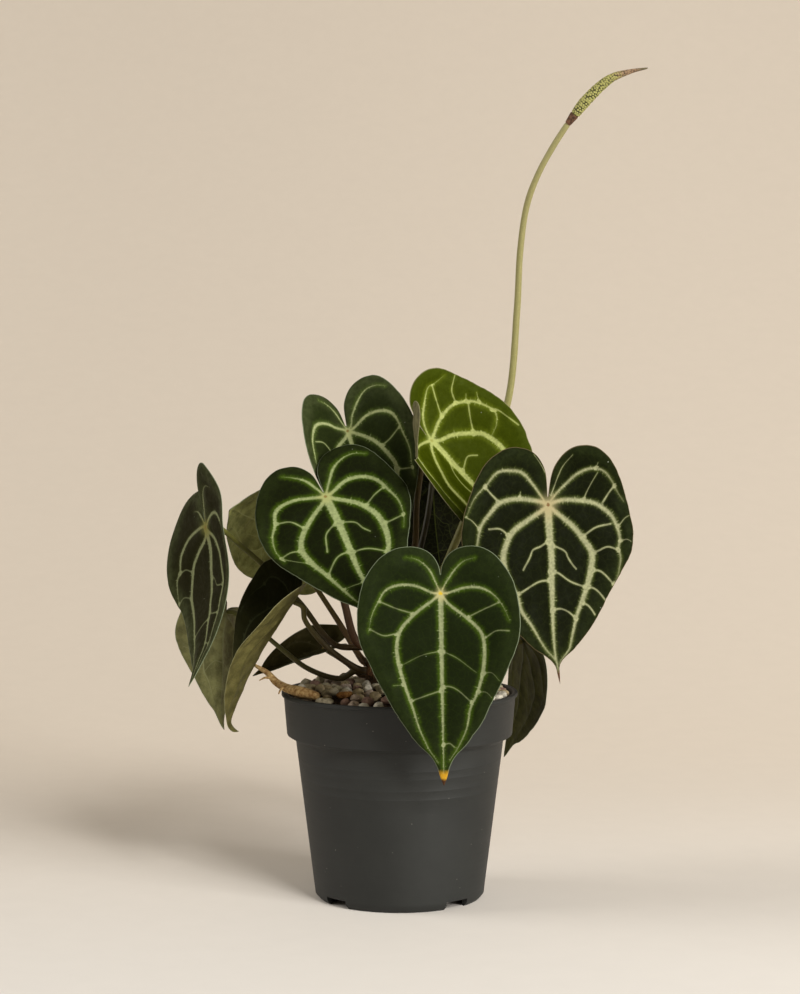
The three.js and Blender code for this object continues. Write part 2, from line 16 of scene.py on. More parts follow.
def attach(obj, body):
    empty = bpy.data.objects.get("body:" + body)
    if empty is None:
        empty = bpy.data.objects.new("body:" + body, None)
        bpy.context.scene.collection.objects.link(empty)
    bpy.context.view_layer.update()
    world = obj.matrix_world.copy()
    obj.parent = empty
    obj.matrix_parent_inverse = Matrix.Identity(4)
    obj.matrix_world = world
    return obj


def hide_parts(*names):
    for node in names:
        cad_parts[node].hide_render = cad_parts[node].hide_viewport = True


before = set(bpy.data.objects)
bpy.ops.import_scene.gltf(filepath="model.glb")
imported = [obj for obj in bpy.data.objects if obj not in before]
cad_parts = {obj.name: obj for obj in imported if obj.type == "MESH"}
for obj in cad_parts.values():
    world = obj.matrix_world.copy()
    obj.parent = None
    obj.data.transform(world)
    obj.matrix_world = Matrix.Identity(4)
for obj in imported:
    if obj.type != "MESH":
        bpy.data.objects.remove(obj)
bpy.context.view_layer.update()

bl_info = {
    "name": "Potted Anthurium clarinervium",
    "version": (1, 0, 0),
    "blender": (4, 5, 0),
    "location": "3D View > Sidebar > Plant",
    "description": "Builds the plant, its pot and the studio round the packed frame",
    "category": "Add Mesh",
}

MM = 0.001

# Camera: lens and sensor in mm, its place in metres, and how many degrees it looks down
CAMERA_LENS = 85
CAMERA_SENSOR = 36
CAMERA_AT = (0.0002, -1.187, 0.271)
CAMERA_DOWN = 3.25


def srgb(red, green, blue):
    """A colour read as 0 to 255 from a screen, as the four linear numbers that a shader takes."""
    parts = [c / 255 for c in (red, green, blue)]
    return (*[c / 12.92 if c <= 0.04045 else ((c + 0.055) / 1.055) ** 2.4 for c in parts], 1.0)


# Leaves

# Half outline of a blade as shares: across, of the half width; along, of the
# lobe length where negative and of the blade length where positive
HALF_OUTLINE = (
    (0, -0.12), (0.02, -0.54), (0.08, -0.76), (0.17, -0.91), (0.29, -0.99),
    (0.44, -1), (0.59, -0.91), (0.73, -0.71), (0.86, -0.38), (0.95, 0),
    (1, 0.12), (0.985, 0.23), (0.92, 0.32), (0.75, 0.47), (0.55, 0.635),
    (0.34, 0.765), (0.18, 0.84), (0.105, 0.9), (0.05, 0.96), (0, 1),
)
HOOK_FROM = 0.8
WAVES_PER_TURN = 5


@dataclass(frozen=True)
class Look:
    """Colours of one leaf, as read from the photograph, and how far they reach in mm.

    margin: a painted sheen, the greyer tone of the blade towards its edge where it curves away. halo: the
    glow beside a vein.
    heart: the veins' tone where the stalk meets the blade. point: the spot right there.
    rim: the thin line round the edge. soft: how gradually a vein's side fades."""

    lamina: tuple = (20, 29, 16)
    # Painted sheen: the greyer colour towards the edge of the blade
    margin: tuple = (40, 52, 38)
    halo: tuple = (62, 84, 22)
    vein: tuple = (150, 166, 122)
    heart: tuple = (150, 160, 96)
    point: tuple = (128, 112, 62)
    under: tuple = (78, 88, 58)
    under_vein: tuple = (108, 118, 80)
    rim: tuple = (128, 138, 112)
    glow: float = 0.8
    glow_reach: float = 2.6
    heart_reach: float = 7
    soft: float = 0.55
    thin_strength: float = 0.8
    yellow_tip: float = 0
    dry_tip: float = 0.7


@dataclass(frozen=True)
class Leaf:
    """One leaf. at: where the stalk meets the blade. turn: which way the upper face looks,
    0 is the viewer and -90 is left. tilt: how far it looks up. spin: swing of the midrib in
    the blade's plane. long: attachment to tip. Pairs are the left and right halves seen on
    the upper face: wide and lobe are shares of long, the bends are degrees. slit: where the
    lobes part, as a share of their length. drip: how much narrower the tip is drawn out.
    meet: how far along the midrib the veins meet, as a share of long."""

    name: str
    look: Look
    at: tuple
    turn: float
    tilt: float
    spin: float
    long: float
    wide: tuple
    lobe: tuple
    droop: float
    lobe_bend: tuple
    fold: tuple
    curl: tuple
    stalk: tuple
    via: tuple
    radii: tuple
    gap: float = 0
    hook: float = 0
    wave: float = 0
    phase: float = 0
    twist: float = 0
    vein_width: float = 1
    drip: float = 0
    slit: float = 0.12
    meet: float = 0
    stalk_colours: tuple = ((92, 68, 40), (112, 108, 54))


FRONT_LOOK = Look(lamina=(25, 32, 12), margin=(34, 42, 18), halo=(62, 84, 14), vein=(144, 151, 110),
                  heart=(176, 170, 120), point=(196, 168, 48), glow=0.8, glow_reach=2.8, heart_reach=6,
                  thin_strength=0.7, yellow_tip=8.5, dry_tip=3.6)
RIGHT_LOOK = Look(lamina=(17, 20, 6), margin=(29, 35, 13), halo=(68, 77, 32), vein=(154, 155, 118),
                  heart=(162, 151, 112), point=(110, 84, 52), rim=(104, 92, 66), glow=0.8, glow_reach=2.2,
                  heart_reach=12, soft=0.95, thin_strength=0.95, dry_tip=7)
LEFT_LOOK = Look(lamina=(22, 26, 9), margin=(35, 42, 17), halo=(62, 84, 14), vein=(150, 161, 110),
                 heart=(160, 164, 106), glow=0.85, glow_reach=3.2, soft=0.7)
BACK_LOOK = Look(lamina=(35, 42, 17), margin=(62, 69, 40), halo=(76, 92, 38), vein=(166, 174, 122),
                 heart=(168, 174, 118), glow=0.75, glow_reach=2.6, thin_strength=0.8)
YOUNG_LOOK = Look(lamina=(53, 62, 2), margin=(58, 68, 8), halo=(92, 104, 22), vein=(174, 181, 108),
                  heart=(172, 178, 108), point=(150, 150, 80), under=(112, 108, 76),
                  under_vein=(160, 156, 118), rim=(142, 136, 104), glow=0.8, glow_reach=3.6, soft=0.75)
OUTER_LOOK = Look(lamina=(35, 34, 15), margin=(64, 69, 42), halo=(55, 58, 28), vein=(136, 142, 104),
                  heart=(131, 128, 71), under=(92, 92, 62), under_vein=(128, 128, 92), glow=0.5,
                  heart_reach=9, dry_tip=0)
GREY_UNDER = Look(under=(126, 124, 80), under_vein=(136, 136, 96))
OLIVE_UNDER = Look(under=(164, 166, 100), under_vein=(178, 180, 118))
SHADE_UNDER = Look(under=(68, 68, 30), under_vein=(44, 43, 18))
CURLED_LOOK = Look(lamina=(38, 39, 18), margin=(46, 47, 23), halo=(40, 43, 24), vein=(62, 66, 42),
                   heart=(60, 62, 38), under=(112, 106, 62), under_vein=(92, 88, 50), rim=(150, 148, 110),
                   glow=0.3, thin_strength=0.2)
# Painted light: the small low leaf is painted lighter than its own colour, for light that hardly reaches it
LIGHTENED_SMALL_LOOK = Look(lamina=(50, 46, 22), margin=(68, 62, 36), halo=(57, 52, 29), vein=(74, 70, 44),
                  heart=(64, 60, 38), under=(80, 78, 48), under_vein=(96, 94, 60), glow=0.3,
                  thin_strength=0.3)
# Painted shade: the inner leaf's underside is painted nearly black for the shade deep among the leaves
SHADED_INNER_LOOK = Look(under=(24, 25, 10), under_vein=(74, 82, 38))

LEAVES = (
    Leaf("front", FRONT_LOOK, at=(0.0195, -0.077, 0.1645), turn=-3, tilt=3, spin=1, long=0.095,
         wide=(0.425, 0.405), lobe=(0.21, 0.21), droop=8, lobe_bend=(5, 5), fold=(1, 3), curl=(14, 15),
         stalk=(-75, 15), via=((0.006, -0.036, 0.136), (0.015, -0.06, 0.159)), radii=(2.3, 1.6),
         drip=0.25, slit=0.33, meet=0.024),
    Leaf("right", RIGHT_LOOK, at=(0.0725, -0.04, 0.202), turn=26, tilt=1, spin=-1, long=0.088,
         wide=(0.54, 0.52), lobe=(0.32, 0.35), droop=-18, lobe_bend=(-3, -27), fold=(3, -3), curl=(-8, 25),
         stalk=(-28, 20), via=((0.026, -0.012, 0.13), (0.056, -0.02, 0.16), (0.068, -0.03, 0.188)),
         radii=(2.3, 1.6), gap=0.01, wave=-1, phase=-15, vein_width=1.6, drip=0.8),
    Leaf("left", LEFT_LOOK, at=(-0.037, -0.016, 0.2045), turn=-6, tilt=39, spin=25, long=0.087,
         wide=(0.45, 0.45), lobe=(0.3, 0.31), droop=-4, lobe_bend=(1, 1), fold=(-2, -1), curl=(8, 12),
         stalk=(-125, 55), via=((-0.021, -0.008, 0.13), (-0.0275, -0.012, 0.15), (-0.034, -0.008, 0.18)),
         radii=(2.3, 1.6), gap=0.005, wave=-2, phase=-5, vein_width=1.5,
         stalk_colours=((82, 56, 34), (106, 80, 50))),
    Leaf("back_left", BACK_LOOK, at=(-0.027, 0.028, 0.236), turn=9, tilt=26, spin=11, long=0.086,
         wide=(0.4, 0.45), lobe=(0.24, 0.29), droop=20, lobe_bend=(7, 7), fold=(26, 25), curl=(23, 23),
         stalk=(125, 55), via=((-0.012, 0.026, 0.15), (-0.024, 0.046, 0.205)), radii=(2.2, 1.6),
         gap=0.02, vein_width=1.2),
    Leaf("young", YOUNG_LOOK, at=(0.016, 0, 0.232), turn=26, tilt=23, spin=38, long=0.097,
         wide=(0.44, 0.43), lobe=(0.42, 0.35), droop=8, lobe_bend=(-105, -50), fold=(24, 12), curl=(32, 22),
         stalk=(-10, 60), via=((0.004, 0.008, 0.15), (0.008, 0.012, 0.178), (0.009, 0.014, 0.201)),
         radii=(1.9, 1.5), vein_width=1.35, twist=18, stalk_colours=((84, 64, 38), (108, 94, 50))),
    Leaf("outer_left", OUTER_LOOK, at=(-0.097, -0.012, 0.189), turn=-57, tilt=0, spin=25, long=0.089,
         wide=(0.46, 0.41), lobe=(0.3, 0.33), droop=-37, lobe_bend=(35, -10), fold=(-4, 1), curl=(18, 29),
         stalk=(172, 50), via=((-0.033, 0.007, 0.1275), (-0.051, 0.012, 0.1485), (-0.0675, 0.01, 0.166),
                               (-0.08, 0.003, 0.178)),
         radii=(1.6, 1.3), wave=1.5, phase=110, vein_width=1.3,
         stalk_colours=((70, 54, 30), (128, 130, 62))),
    Leaf("low_left", GREY_UNDER, at=(-0.0905, 0.034, 0.1415), turn=-129, tilt=0, spin=11, long=0.062,
         wide=(0.45, 0.45), lobe=(0.05, 0.15), droop=14, lobe_bend=(10, 10), fold=(12, 11), curl=(24, 22),
         stalk=(176, 5), via=((-0.03, 0.005, 0.1105), (-0.046, 0.009, 0.1145), (-0.0625, 0.017, 0.1255),
                              (-0.073, 0.023, 0.1335)),
         radii=(1.5, 1.2), gap=0.005, hook=25, wave=-1.5, phase=-10, vein_width=0.9,
         stalk_colours=((76, 66, 38), (106, 108, 56))),
    Leaf("curled", CURLED_LOOK, at=(-0.053, -0.022, 0.1525), turn=-58, tilt=25, spin=-28, long=0.084,
         wide=(0.38, 0.39), lobe=(0.18, 0.19), droop=17, lobe_bend=(-3, -3), fold=(14, 34), curl=(22, 20),
         stalk=(-150, 12), via=((-0.0375, -0.008, 0.129), (-0.0475, -0.014, 0.1425)), radii=(1.6, 1.3),
         gap=0.01, hook=92, wave=1, phase=-95, twist=20, vein_width=0.7,
         stalk_colours=((74, 58, 32), (96, 90, 46))),
    Leaf("olive_back", OLIVE_UNDER, at=(-0.0605, 0.048, 0.178), turn=-150, tilt=24, spin=124, long=0.075,
         wide=(0.36, 0.41), lobe=(0.5, 0.4), droop=53, lobe_bend=(0, 0), fold=(-16, -8), curl=(8, 16),
         stalk=(142, 20), via=((-0.032, 0.024, 0.138), (-0.05, 0.036, 0.164)), radii=(1.7, 1.3),
         gap=0.005, vein_width=0.8),
    Leaf("small", LIGHTENED_SMALL_LOOK, at=(-0.0395, 0.03, 0.123), turn=-21, tilt=22, spin=-70, long=0.045,
         wide=(0.3, 0.32), lobe=(0.31, 0.3), droop=20, lobe_bend=(7, 7), fold=(10, 52), curl=(14, 20),
         stalk=(145, -5), via=((-0.027, 0.02, 0.116),), radii=(1.4, 1.1), gap=0.005, wave=-1, phase=-20,
         vein_width=0.5),
    Leaf("low_right", SHADE_UNDER, at=(0.0655, 0.049, 0.1245), turn=105, tilt=11, spin=27, long=0.076,
         wide=(0.42, 0.4), lobe=(0.26, 0.26), droop=19, lobe_bend=(11, 11), fold=(0, 0), curl=(6, 13),
         stalk=(27, 15), via=((0.025, 0.022, 0.128), (0.048, 0.038, 0.132)), radii=(1.9, 1.4),
         gap=0.005, wave=-0.5, phase=65, vein_width=0.8),
    Leaf("inner", SHADED_INNER_LOOK, at=(0.0175, 0.054, 0.2085), turn=176, tilt=10, spin=-4, long=0.089,
         wide=(0.39, 0.39), lobe=(0.26, 0.26), droop=12, lobe_bend=(10, 10), fold=(12, 12), curl=(15, 15),
         stalk=(68, 15), via=((0.005, 0.028, 0.15), (0.014, 0.04, 0.188)), radii=(2, 1.5), gap=0.005,
         vein_width=0.6, stalk_colours=((40, 34, 22), (62, 58, 34))),
)

# Half widths of the veins in mm: where they start, at their bow and where they end
VEIN_SIZES = {
    "rib": (1.55, 1.15, 0.3),
    "first": (0.85, 1.15, 0.25),
    "second": (0.8, 0.85, 0.08),
    "third": (0.45, 0.65, 0.06),
    "cross": (0.34, 0.26, 0.3),
    "fine": (0.2, 0.14, 0.06),
}
THIN_VEINS = ("cross", "fine")

# Courses of the veins as shares, like the outline, with the left half negative. A leaf
# that has no rows of its own takes those of the left leaf
VEIN_ROWS = {
    "front": """
    rib 0,0 0,.25 0,.5 0,.75 0,.96
    first 0,0 -.1,.04 -.3,.11 -.48,.2 -.53,.3 -.49,.41 -.42,.51 -.35,.6 -.28,.7 -.18,.8 -.08,.88
    first 0,0 .1,.06 .3,.13 .49,.21 .54,.3 .51,.42 .44,.52 .35,.6 .3,.7 .2,.79 .09,.87
    second 0,0 -.1,0 -.29,-.14 -.49,-.14 -.65,0 -.74,.06 -.82,.13 -.86,.21
    second 0,0 .1,0 .31,-.09 .51,-.05 .67,.03 .78,.09 .86,.16
    third 0,0 -.03,-.12 -.06,-.25 -.13,-.52 -.26,-.73 -.4,-.79
    third 0,0 .03,-.11 .07,-.24 .18,-.52 .3,-.7 .44,-.76
    cross -.34,.11 -.52,.09 -.71,.06
    cross -.54,.22 -.68,.23 -.83,.2
    cross .35,.13 .52,.1 .71,.07
    cross .57,.24 .7,.21 .86,.21
    fine 0,.31 -.22,.33 -.47,.38
    fine 0,.31 .2,.35 .43,.42
    cross 0,.51 -.15,.53 -.36,.56
    cross 0,.5 .08,.49 .2,.51 .36,.57
    cross 0,.79 .08,.78 .14,.8
    fine .5,.43 .62,.42 .72,.46
    fine .44,.52 .56,.52 .66,.57
    fine -.45,.48 -.58,.48
    """,
    "right": """
    rib 0,0 -.02,.16 -.03,.3 -.02,.45 -.01,.59 .01,.7 .02,.84 .01,.95
    first 0,0 -.07,.03 -.26,.09 -.42,.15 -.52,.25 -.53,.33 -.48,.43 -.4,.5 -.36,.59 -.27,.67 -.18,.76 -.03,.88
    first 0,0 .07,.03 .28,.11 .42,.19 .52,.27 .51,.36 .45,.46 .38,.54 .3,.63 .24,.72 .18,.8 .08,.89
    second 0,0 -.1,-.06 -.36,-.11 -.56,-.05 -.68,.04 -.78,.11 -.82,.2 -.83,.3 -.76,.4
    second 0,0 .07,-.04 .2,-.08 .37,-.07 .57,-.02 .73,.05 .8,.11 .84,.19 .82,.25 .84,.31 .8,.41 .74,.46
    third 0,0 -.08,-.14 -.18,-.35 -.31,-.56 -.46,-.6 -.6,-.56 -.72,-.35 -.86,-.12 -.95,.06
    third 0,0 .07,-.14 .19,-.32 .34,-.52 .49,-.61 .63,-.57 .75,-.39 .82,-.22 .9,-.05
    fine 0,-.15 0,-.41 -.06,-.64 -.17,-.88
    fine .03,-.15 .06,-.3 .12,-.6 .22,-.83
    cross -.6,-.08 -.68,-.2 -.74,-.33
    cross -.46,.17 -.57,.13 -.7,.13
    cross 0,.2 -.1,.23 -.2,.25 -.24,.29 -.32,.36
    cross 0,.42 -.15,.43 -.37,.49
    cross 0,.21 .08,.23 .2,.26 .23,.29 .28,.33 .33,.36
    cross 0,.37 .1,.38 .25,.43 .41,.46
    cross 0,.59 .1,.58 .2,.6 .3,.64
    cross .42,.18 .56,.13 .74,.11
    cross .52,.28 .6,.26 .7,.24 .82,.26
    cross .53,.37 .62,.38 .75,.45
    cross .45,.46 .55,.48 .67,.55
    cross .38,.55 .45,.57 .52,.62
    fine .43,-.06 .48,-.29 .56,-.54
    cross .78,-.33 .72,-.2 .66,-.04
    fine -.34,-.11 -.33,-.23
    fine .53,-.6 .54,-.72
    fine .82,.13 .9,.08 .97,.06
    fine .84,.21 .92,.2 .98,.22
    fine -.8,.13 -.9,.08 -.98,.06
    """,
    "left": """
    rib 0,0 .01,.21 0,.39 -.02,.58 .01,.75 .01,.95
    first 0,0 -.07,.04 -.28,.11 -.47,.2 -.56,.3 -.5,.43 -.41,.53 -.31,.65 -.22,.75 -.1,.87
    first 0,0 .13,.05 .35,.13 .49,.24 .52,.34 .49,.44 .42,.52 .34,.6 .25,.7 .15,.8 .06,.88
    second 0,0 -.05,-.02 -.2,-.1 -.36,-.16 -.55,-.13 -.68,0 -.75,.08 -.84,.15 -.87,.24 -.82,.33
    second 0,0 .11,-.04 .33,-.18 .55,-.13 .7,.02 .77,.13 .82,.23 .8,.33 .74,.4
    third 0,0 -.02,-.1 -.06,-.25 -.14,-.5 -.26,-.67 -.4,-.8
    third 0,0 .06,-.15 .13,-.31 .24,-.54 .39,-.68 .55,-.68 .71,-.56
    cross -.42,.15 -.55,.09 -.73,.07
    cross -.57,.3 -.7,.29 -.85,.3
    cross .42,.16 .55,.13 .72,.09
    cross .53,.32 .65,.33 .81,.33
    cross 0,.2 -.1,.22 -.2,.26 -.24,.31 -.28,.38
    cross 0,.2 .1,.22 .21,.25 .26,.3 .33,.34
    cross 0,.42 -.15,.43 -.25,.46 -.4,.54
    cross 0,.43 .2,.45 .42,.51
    fine -.84,.3 -.7,.36 -.52,.41
    fine 0,.65 -.12,.66 -.3,.66
    fine 0,.66 .1,.66 .3,.67
    """,
    "young": """
    rib 0,0 0,.2 .01,.4 0,.7 0,.95
    first 0,0 -.16,.04 -.31,.13 -.41,.22 -.4,.34 -.3,.5 -.15,.7
    first 0,0 .09,.03 .27,.06 .5,.14 .56,.19 .59,.27 .56,.38 .48,.5 .3,.7 .1,.86
    second 0,0 -.15,-.05 -.4,-.1 -.6,0 -.72,.2 -.6,.42
    second 0,0 .11,-.06 .22,-.13 .36,-.18 .47,-.2 .57,-.17 .7,-.04 .79,.05 .83,.12 .74,.17 .58,.2
    third 0,0 .05,-.2 .12,-.38 .22,-.52 .35,-.7 .47,-.7 .61,-.73
    cross .31,-.16 .36,-.4 .42,-.68
    cross .56,-.18 .6,-.4 .68,-.54 .74,-.62
    cross .45,.13 .55,.06 .68,-.04
    cross .81,.1 .87,.12 .9,.18 .93,.25
    cross 0,.24 .1,.21 .2,.19 .3,.22
    cross 0,.15 -.1,.18 -.15,.22 -.17,.28 -.12,.36
    fine .78,.03 .84,-.08
    fine .66,-.08 .73,-.2
    fine 0,.4 .2,.42 .5,.46
    """,
    "outer_left": """
    rib 0,0 0,.3 0,.6 0,.95
    first 0,0 -.06,.05 -.3,.1 -.5,.18 -.6,.33 -.48,.48 -.4,.6 -.25,.75 -.1,.88
    first 0,0 .07,.04 .17,.09 .33,.21 .4,.37 .34,.5 .27,.6 .15,.75 .05,.88
    second 0,0 -.1,-.06 -.43,-.05 -.65,.05 -.75,.14 -.84,.19 -.88,.3 -.85,.38
    second 0,0 .2,-.1 .4,-.08 .55,.05 .65,.25 .6,.45
    third 0,0 -.05,-.2 -.15,-.4 -.3,-.5
    third 0,0 .08,-.3 .2,-.55 .35,-.6 .5,-.5
    cross -.77,.15 -.62,.15 -.51,.19
    cross -.87,.32 -.75,.3 -.6,.33
    cross 0,.3 .12,.33 .2,.38 .38,.4
    cross 0,.55 -.2,.58 -.4,.61
    cross 0,.5 .1,.54 .3,.56
    cross 0,.7 .08,.72 .17,.74
    """,
}

# Veins, in shares: the place of the bow, how far copied rows stray, where they bend to meet.
# A vein keeps the points that lie far enough inside the edge, in mm, if more than a few do
VEIN_BOW = 0.45
VEIN_STRAY = 0.016
MEET_REACH = 0.35
VEIN_INSET = 0.4
FEWEST_POINTS = 3

# The bends of a blade, and the nibbled edge and drawn-out tip of its outline
BEND_STEPS = 127
BEND_REACH = 1.05
NO_BEND = 1e-6
WAVE_LIMIT = 1.2
DRIP_FROM = 0.8
DRIP_RUN = 0.12
EDGE_DENSITY = 90
EDGE_NIBBLE = 0.011

# The thickness of a blade, the gutter over its midrib and the ribs below it
BLADE_THICKNESS = 0.45 * MM
RIM_THICKNESS = 0.16 * MM
GUTTER = 0.9 * MM
RIB_HEIGHT = 0.4 * MM
RIB_ROUND = 0.7

# Cushions between the veins: their heights, and in mm how far they take to rise and how far
# from the edge they and the ribs fade
CUSHION = 0.9 * MM
CUSHION_REACH = 3.0
SMALL_CUSHION = 0.2 * MM
SMALL_CUSHION_REACH = 1.5
RIPPLE = 0.7 * MM
RIPPLE_DENSITY = 55
EDGE_FLAT = 4
EDGE_PLAIN = 3
ON_EDGE = 0.05

# Uneven places: how rough, how much finer each layer is, and how many layers
EDGE_NOISE = (0.8, 2.2, 3)
RIPPLE_NOISE = (0.9, 2.1, 2)
CRUMB_NOISE = (0.9, 2.1, 4)
STONE_NOISE = (0.8, 2.2, 3)
SCAR_NOISE = (0.8, 2.1, 4)
ROOT_NOISE = (0.9, 2, 3)

# The net of a blade, the counting of its points along the veins, and its flat sheet
FAR = 99.0
BATCH = 4000
LINE_SHIFT = 97
SIDE_SHIFT = 41
ROW_SHARE = 0.866
MERGE = 1e-7
BAKE_ROOM = 0.94
BAKE_SHEETS = 2.1
BAKE_MARGIN = 0.02
BAKE_NEXT = 1.06
BAKE_SKIRT = 0.004

# Points between two given ones, before a curve is evened out
SPLINE_STEPS = 24
TUBE_STEPS = 30


def radians_of(pair, right):
    """The left and right angles of a pair in radians, blended by how far right a point lies."""
    return math.radians(pair[0]) * (1 - right) + math.radians(pair[1]) * right


def spline(points, spacing):
    """Smooth curve through the points, sampled evenly at about the spacing."""
    p = np.asarray(points, float)
    p = np.vstack([2 * p[0] - p[1], p, 2 * p[-1] - p[-2]])
    t = np.linspace(0, 1, SPLINE_STEPS, endpoint=False)[:, None]
    parts = []
    for a, b, c, d in zip(p[:-3], p[1:-2], p[2:-1], p[3:]):
        cubic = 3 * b - a - 3 * c + d
        parts.append(0.5 * (2 * b + (c - a) * t + (2 * a - 5 * b + 4 * c - d) * t ** 2 + cubic * t ** 3))
    fine = np.vstack([*parts, p[-2:-1]])
    lengths = np.r_[0, np.cumsum(np.linalg.norm(np.diff(fine, axis=0), axis=1))]
    places = np.linspace(0, lengths[-1], max(3, round(lengths[-1] / spacing) + 1))
    return np.stack([np.interp(places, lengths, column) for column in fine.T], 1)


def leaf_axes(leaf):
    """Directions of the upper face, the midrib and the right half of a flat leaf."""
    turn, tilt, spin = (math.radians(a) for a in (leaf.turn, leaf.tilt, leaf.spin))
    face = np.array([math.sin(turn) * math.cos(tilt), -math.cos(turn) * math.cos(tilt), math.sin(tilt)])
    down = np.array([math.sin(turn) * math.sin(tilt), -math.cos(turn) * math.sin(tilt), -math.cos(tilt)])
    level = np.array([math.cos(turn), math.sin(turn), 0])
    midrib = down * math.cos(spin) + level * math.sin(spin)
    across = level * math.cos(spin) - down * math.sin(spin)
    return face, midrib, across


def leaf_surface(leaf, x, y):
    """Points of the blade's middle surface at flat places, with its bends, folds and waves."""
    face, midrib, across = leaf_axes(leaf)
    right = 0.5 + 0.5 * np.tanh(x / GUTTER)
    half_width = sum(leaf.wide) / 2 * leaf.long

    steps = np.linspace(0, BEND_REACH, BEND_STEPS)
    hook = math.radians(leaf.hook) * np.clip((steps - HOOK_FROM) / (1 - HOOK_FROM), 0, None) ** 2
    angles = math.radians(leaf.droop) * steps + hook
    middle = (angles[1:] + angles[:-1]) / 2
    step = steps[1] * leaf.long
    share = np.clip(y, 0, None) / leaf.long
    reach = np.interp(share, steps, np.r_[0, np.cumsum(np.cos(middle) * step)])
    rise = -np.interp(share, steps, np.r_[0, np.cumsum(np.sin(middle) * step)])
    lobe = (leaf.lobe[0] * (1 - right) + leaf.lobe[1] * right) * leaf.long
    rate = (radians_of(leaf.lobe_bend, right) + NO_BEND) / lobe
    back = rate * np.clip(-y, 0, None)
    reach = reach - np.sin(back) / rate
    rise = rise - (1 - np.cos(back)) / rate
    bend = np.interp(share, steps, angles) - back

    fold = radians_of(leaf.fold, right)
    curl = (radians_of(leaf.curl, right) + NO_BEND) / half_width
    away = np.abs(x)
    soft = np.sqrt(away ** 2 + GUTTER ** 2) - GUTTER
    out = np.sign(x) * (np.sin(fold + curl * away) - np.sin(fold)) / curl
    lift = -(np.cos(fold + curl * soft) - np.cos(fold)) / curl
    spread = np.clip(np.hypot(x / half_width, y / leaf.long), 0, WAVE_LIMIT)
    turns = WAVES_PER_TURN * np.arctan2(x, y + 1e-9) + math.radians(leaf.phase)
    lift = lift + leaf.wave * MM * spread ** 2 * np.sin(turns)

    twist = math.radians(leaf.twist) * y / leaf.long
    straight = np.cos(bend)[:, None] * face + np.sin(bend)[:, None] * midrib
    sideways = np.cos(twist)[:, None] * across + np.sin(twist)[:, None] * straight
    normal = np.cos(twist)[:, None] * straight - np.sin(twist)[:, None] * across
    middle_line = np.array(leaf.at) + np.outer(reach, midrib) + np.outer(rise, face)
    return middle_line + sideways * out[:, None] + normal * lift[:, None]


def surface_normals(leaf, x, y):
    """Upper-face directions of the middle surface, from small steps both ways."""
    small = 0.5 * MM
    along = leaf_surface(leaf, x, y + small) - leaf_surface(leaf, x, y - small)
    aside = leaf_surface(leaf, x + small, y) - leaf_surface(leaf, x - small, y)
    normals = np.cross(along, aside)
    return normals / np.linalg.norm(normals, axis=1)[:, None]


def flat_places(leaf, shares, side):
    """Shares of the half outline or of a vein as flat places in metres."""
    half = 1 if side > 0 else 0
    places = []
    for across, along in shares:
        in_lobe = along < 0
        slit = leaf.gap * leaf.long * -along * (1 - across) if in_lobe else 0
        reach = leaf.lobe[half] if in_lobe else 1
        places.append((side * (across * leaf.wide[half] * leaf.long + slit), along * reach * leaf.long))
    return places


def drawn_out(leaf, along):
    """How much narrower than its outline the blade is at a place, for a thin tip."""
    share = np.clip((along / leaf.long - DRIP_FROM) / DRIP_RUN, 0, 1)
    return 1 - leaf.drip * share ** 2 * (3 - 2 * share)


def leaf_outline(leaf, spacing):
    """Closed outline of the flat blade, slightly uneven away from its sinus and tip."""
    half = ((0, -leaf.slit), *HALF_OUTLINE[1:])
    right = spline(flat_places(leaf, half, 1), spacing)
    left = spline(flat_places(leaf, half, -1), spacing)
    outline = np.vstack([right[:-1], left[:0:-1]])
    outline[:, 0] *= drawn_out(leaf, outline[:, 1])
    layer = leaf.long * 500
    places = [Vector((u * EDGE_DENSITY, v * EDGE_DENSITY, layer)) for u, v in outline]
    uneven = np.array([noise.fractal(place, *EDGE_NOISE) for place in places])
    firm = np.clip(np.abs(outline[:, 0]) / (0.25 * leaf.wide[0] * leaf.long) - 0.4, 0, 1)
    return outline * (1 - EDGE_NIBBLE * np.clip(uneven + 0.4, 0, None) * firm)[:, None]


def leaf_veins(leaf, spacing, seed):
    """Main and thin veins as lines on the flat blade, each with its half widths in mm."""
    random = np.random.default_rng(seed)
    main, thin = [], []
    own = leaf.name in VEIN_ROWS
    for row in VEIN_ROWS[leaf.name if own else "left"].strip().splitlines():
        kind, *words = row.split()
        shares = np.array([[float(part) for part in word.split(",")] for word in words])
        side = -1 if shares[:, 0].sum() < 0 else 1
        shares[:, 0] = np.abs(shares[:, 0]) if kind != "rib" else shares[:, 0]
        if not own and kind != "rib":
            shares[1:] += random.normal(0, VEIN_STRAY, (len(shares) - 1, 2))
        line = spline(flat_places(leaf, shares, side), spacing)
        line[:, 0] *= drawn_out(leaf, line[:, 1])
        away = np.hypot(*line.T) / leaf.long
        line[:, 1] += leaf.meet * leaf.long * np.clip(1 - away / MEET_REACH, 0, 1)
        widths = [width * leaf.vein_width for width in VEIN_SIZES[kind]]
        (thin if kind in THIN_VEINS else main).append((line, widths))
    return main, thin


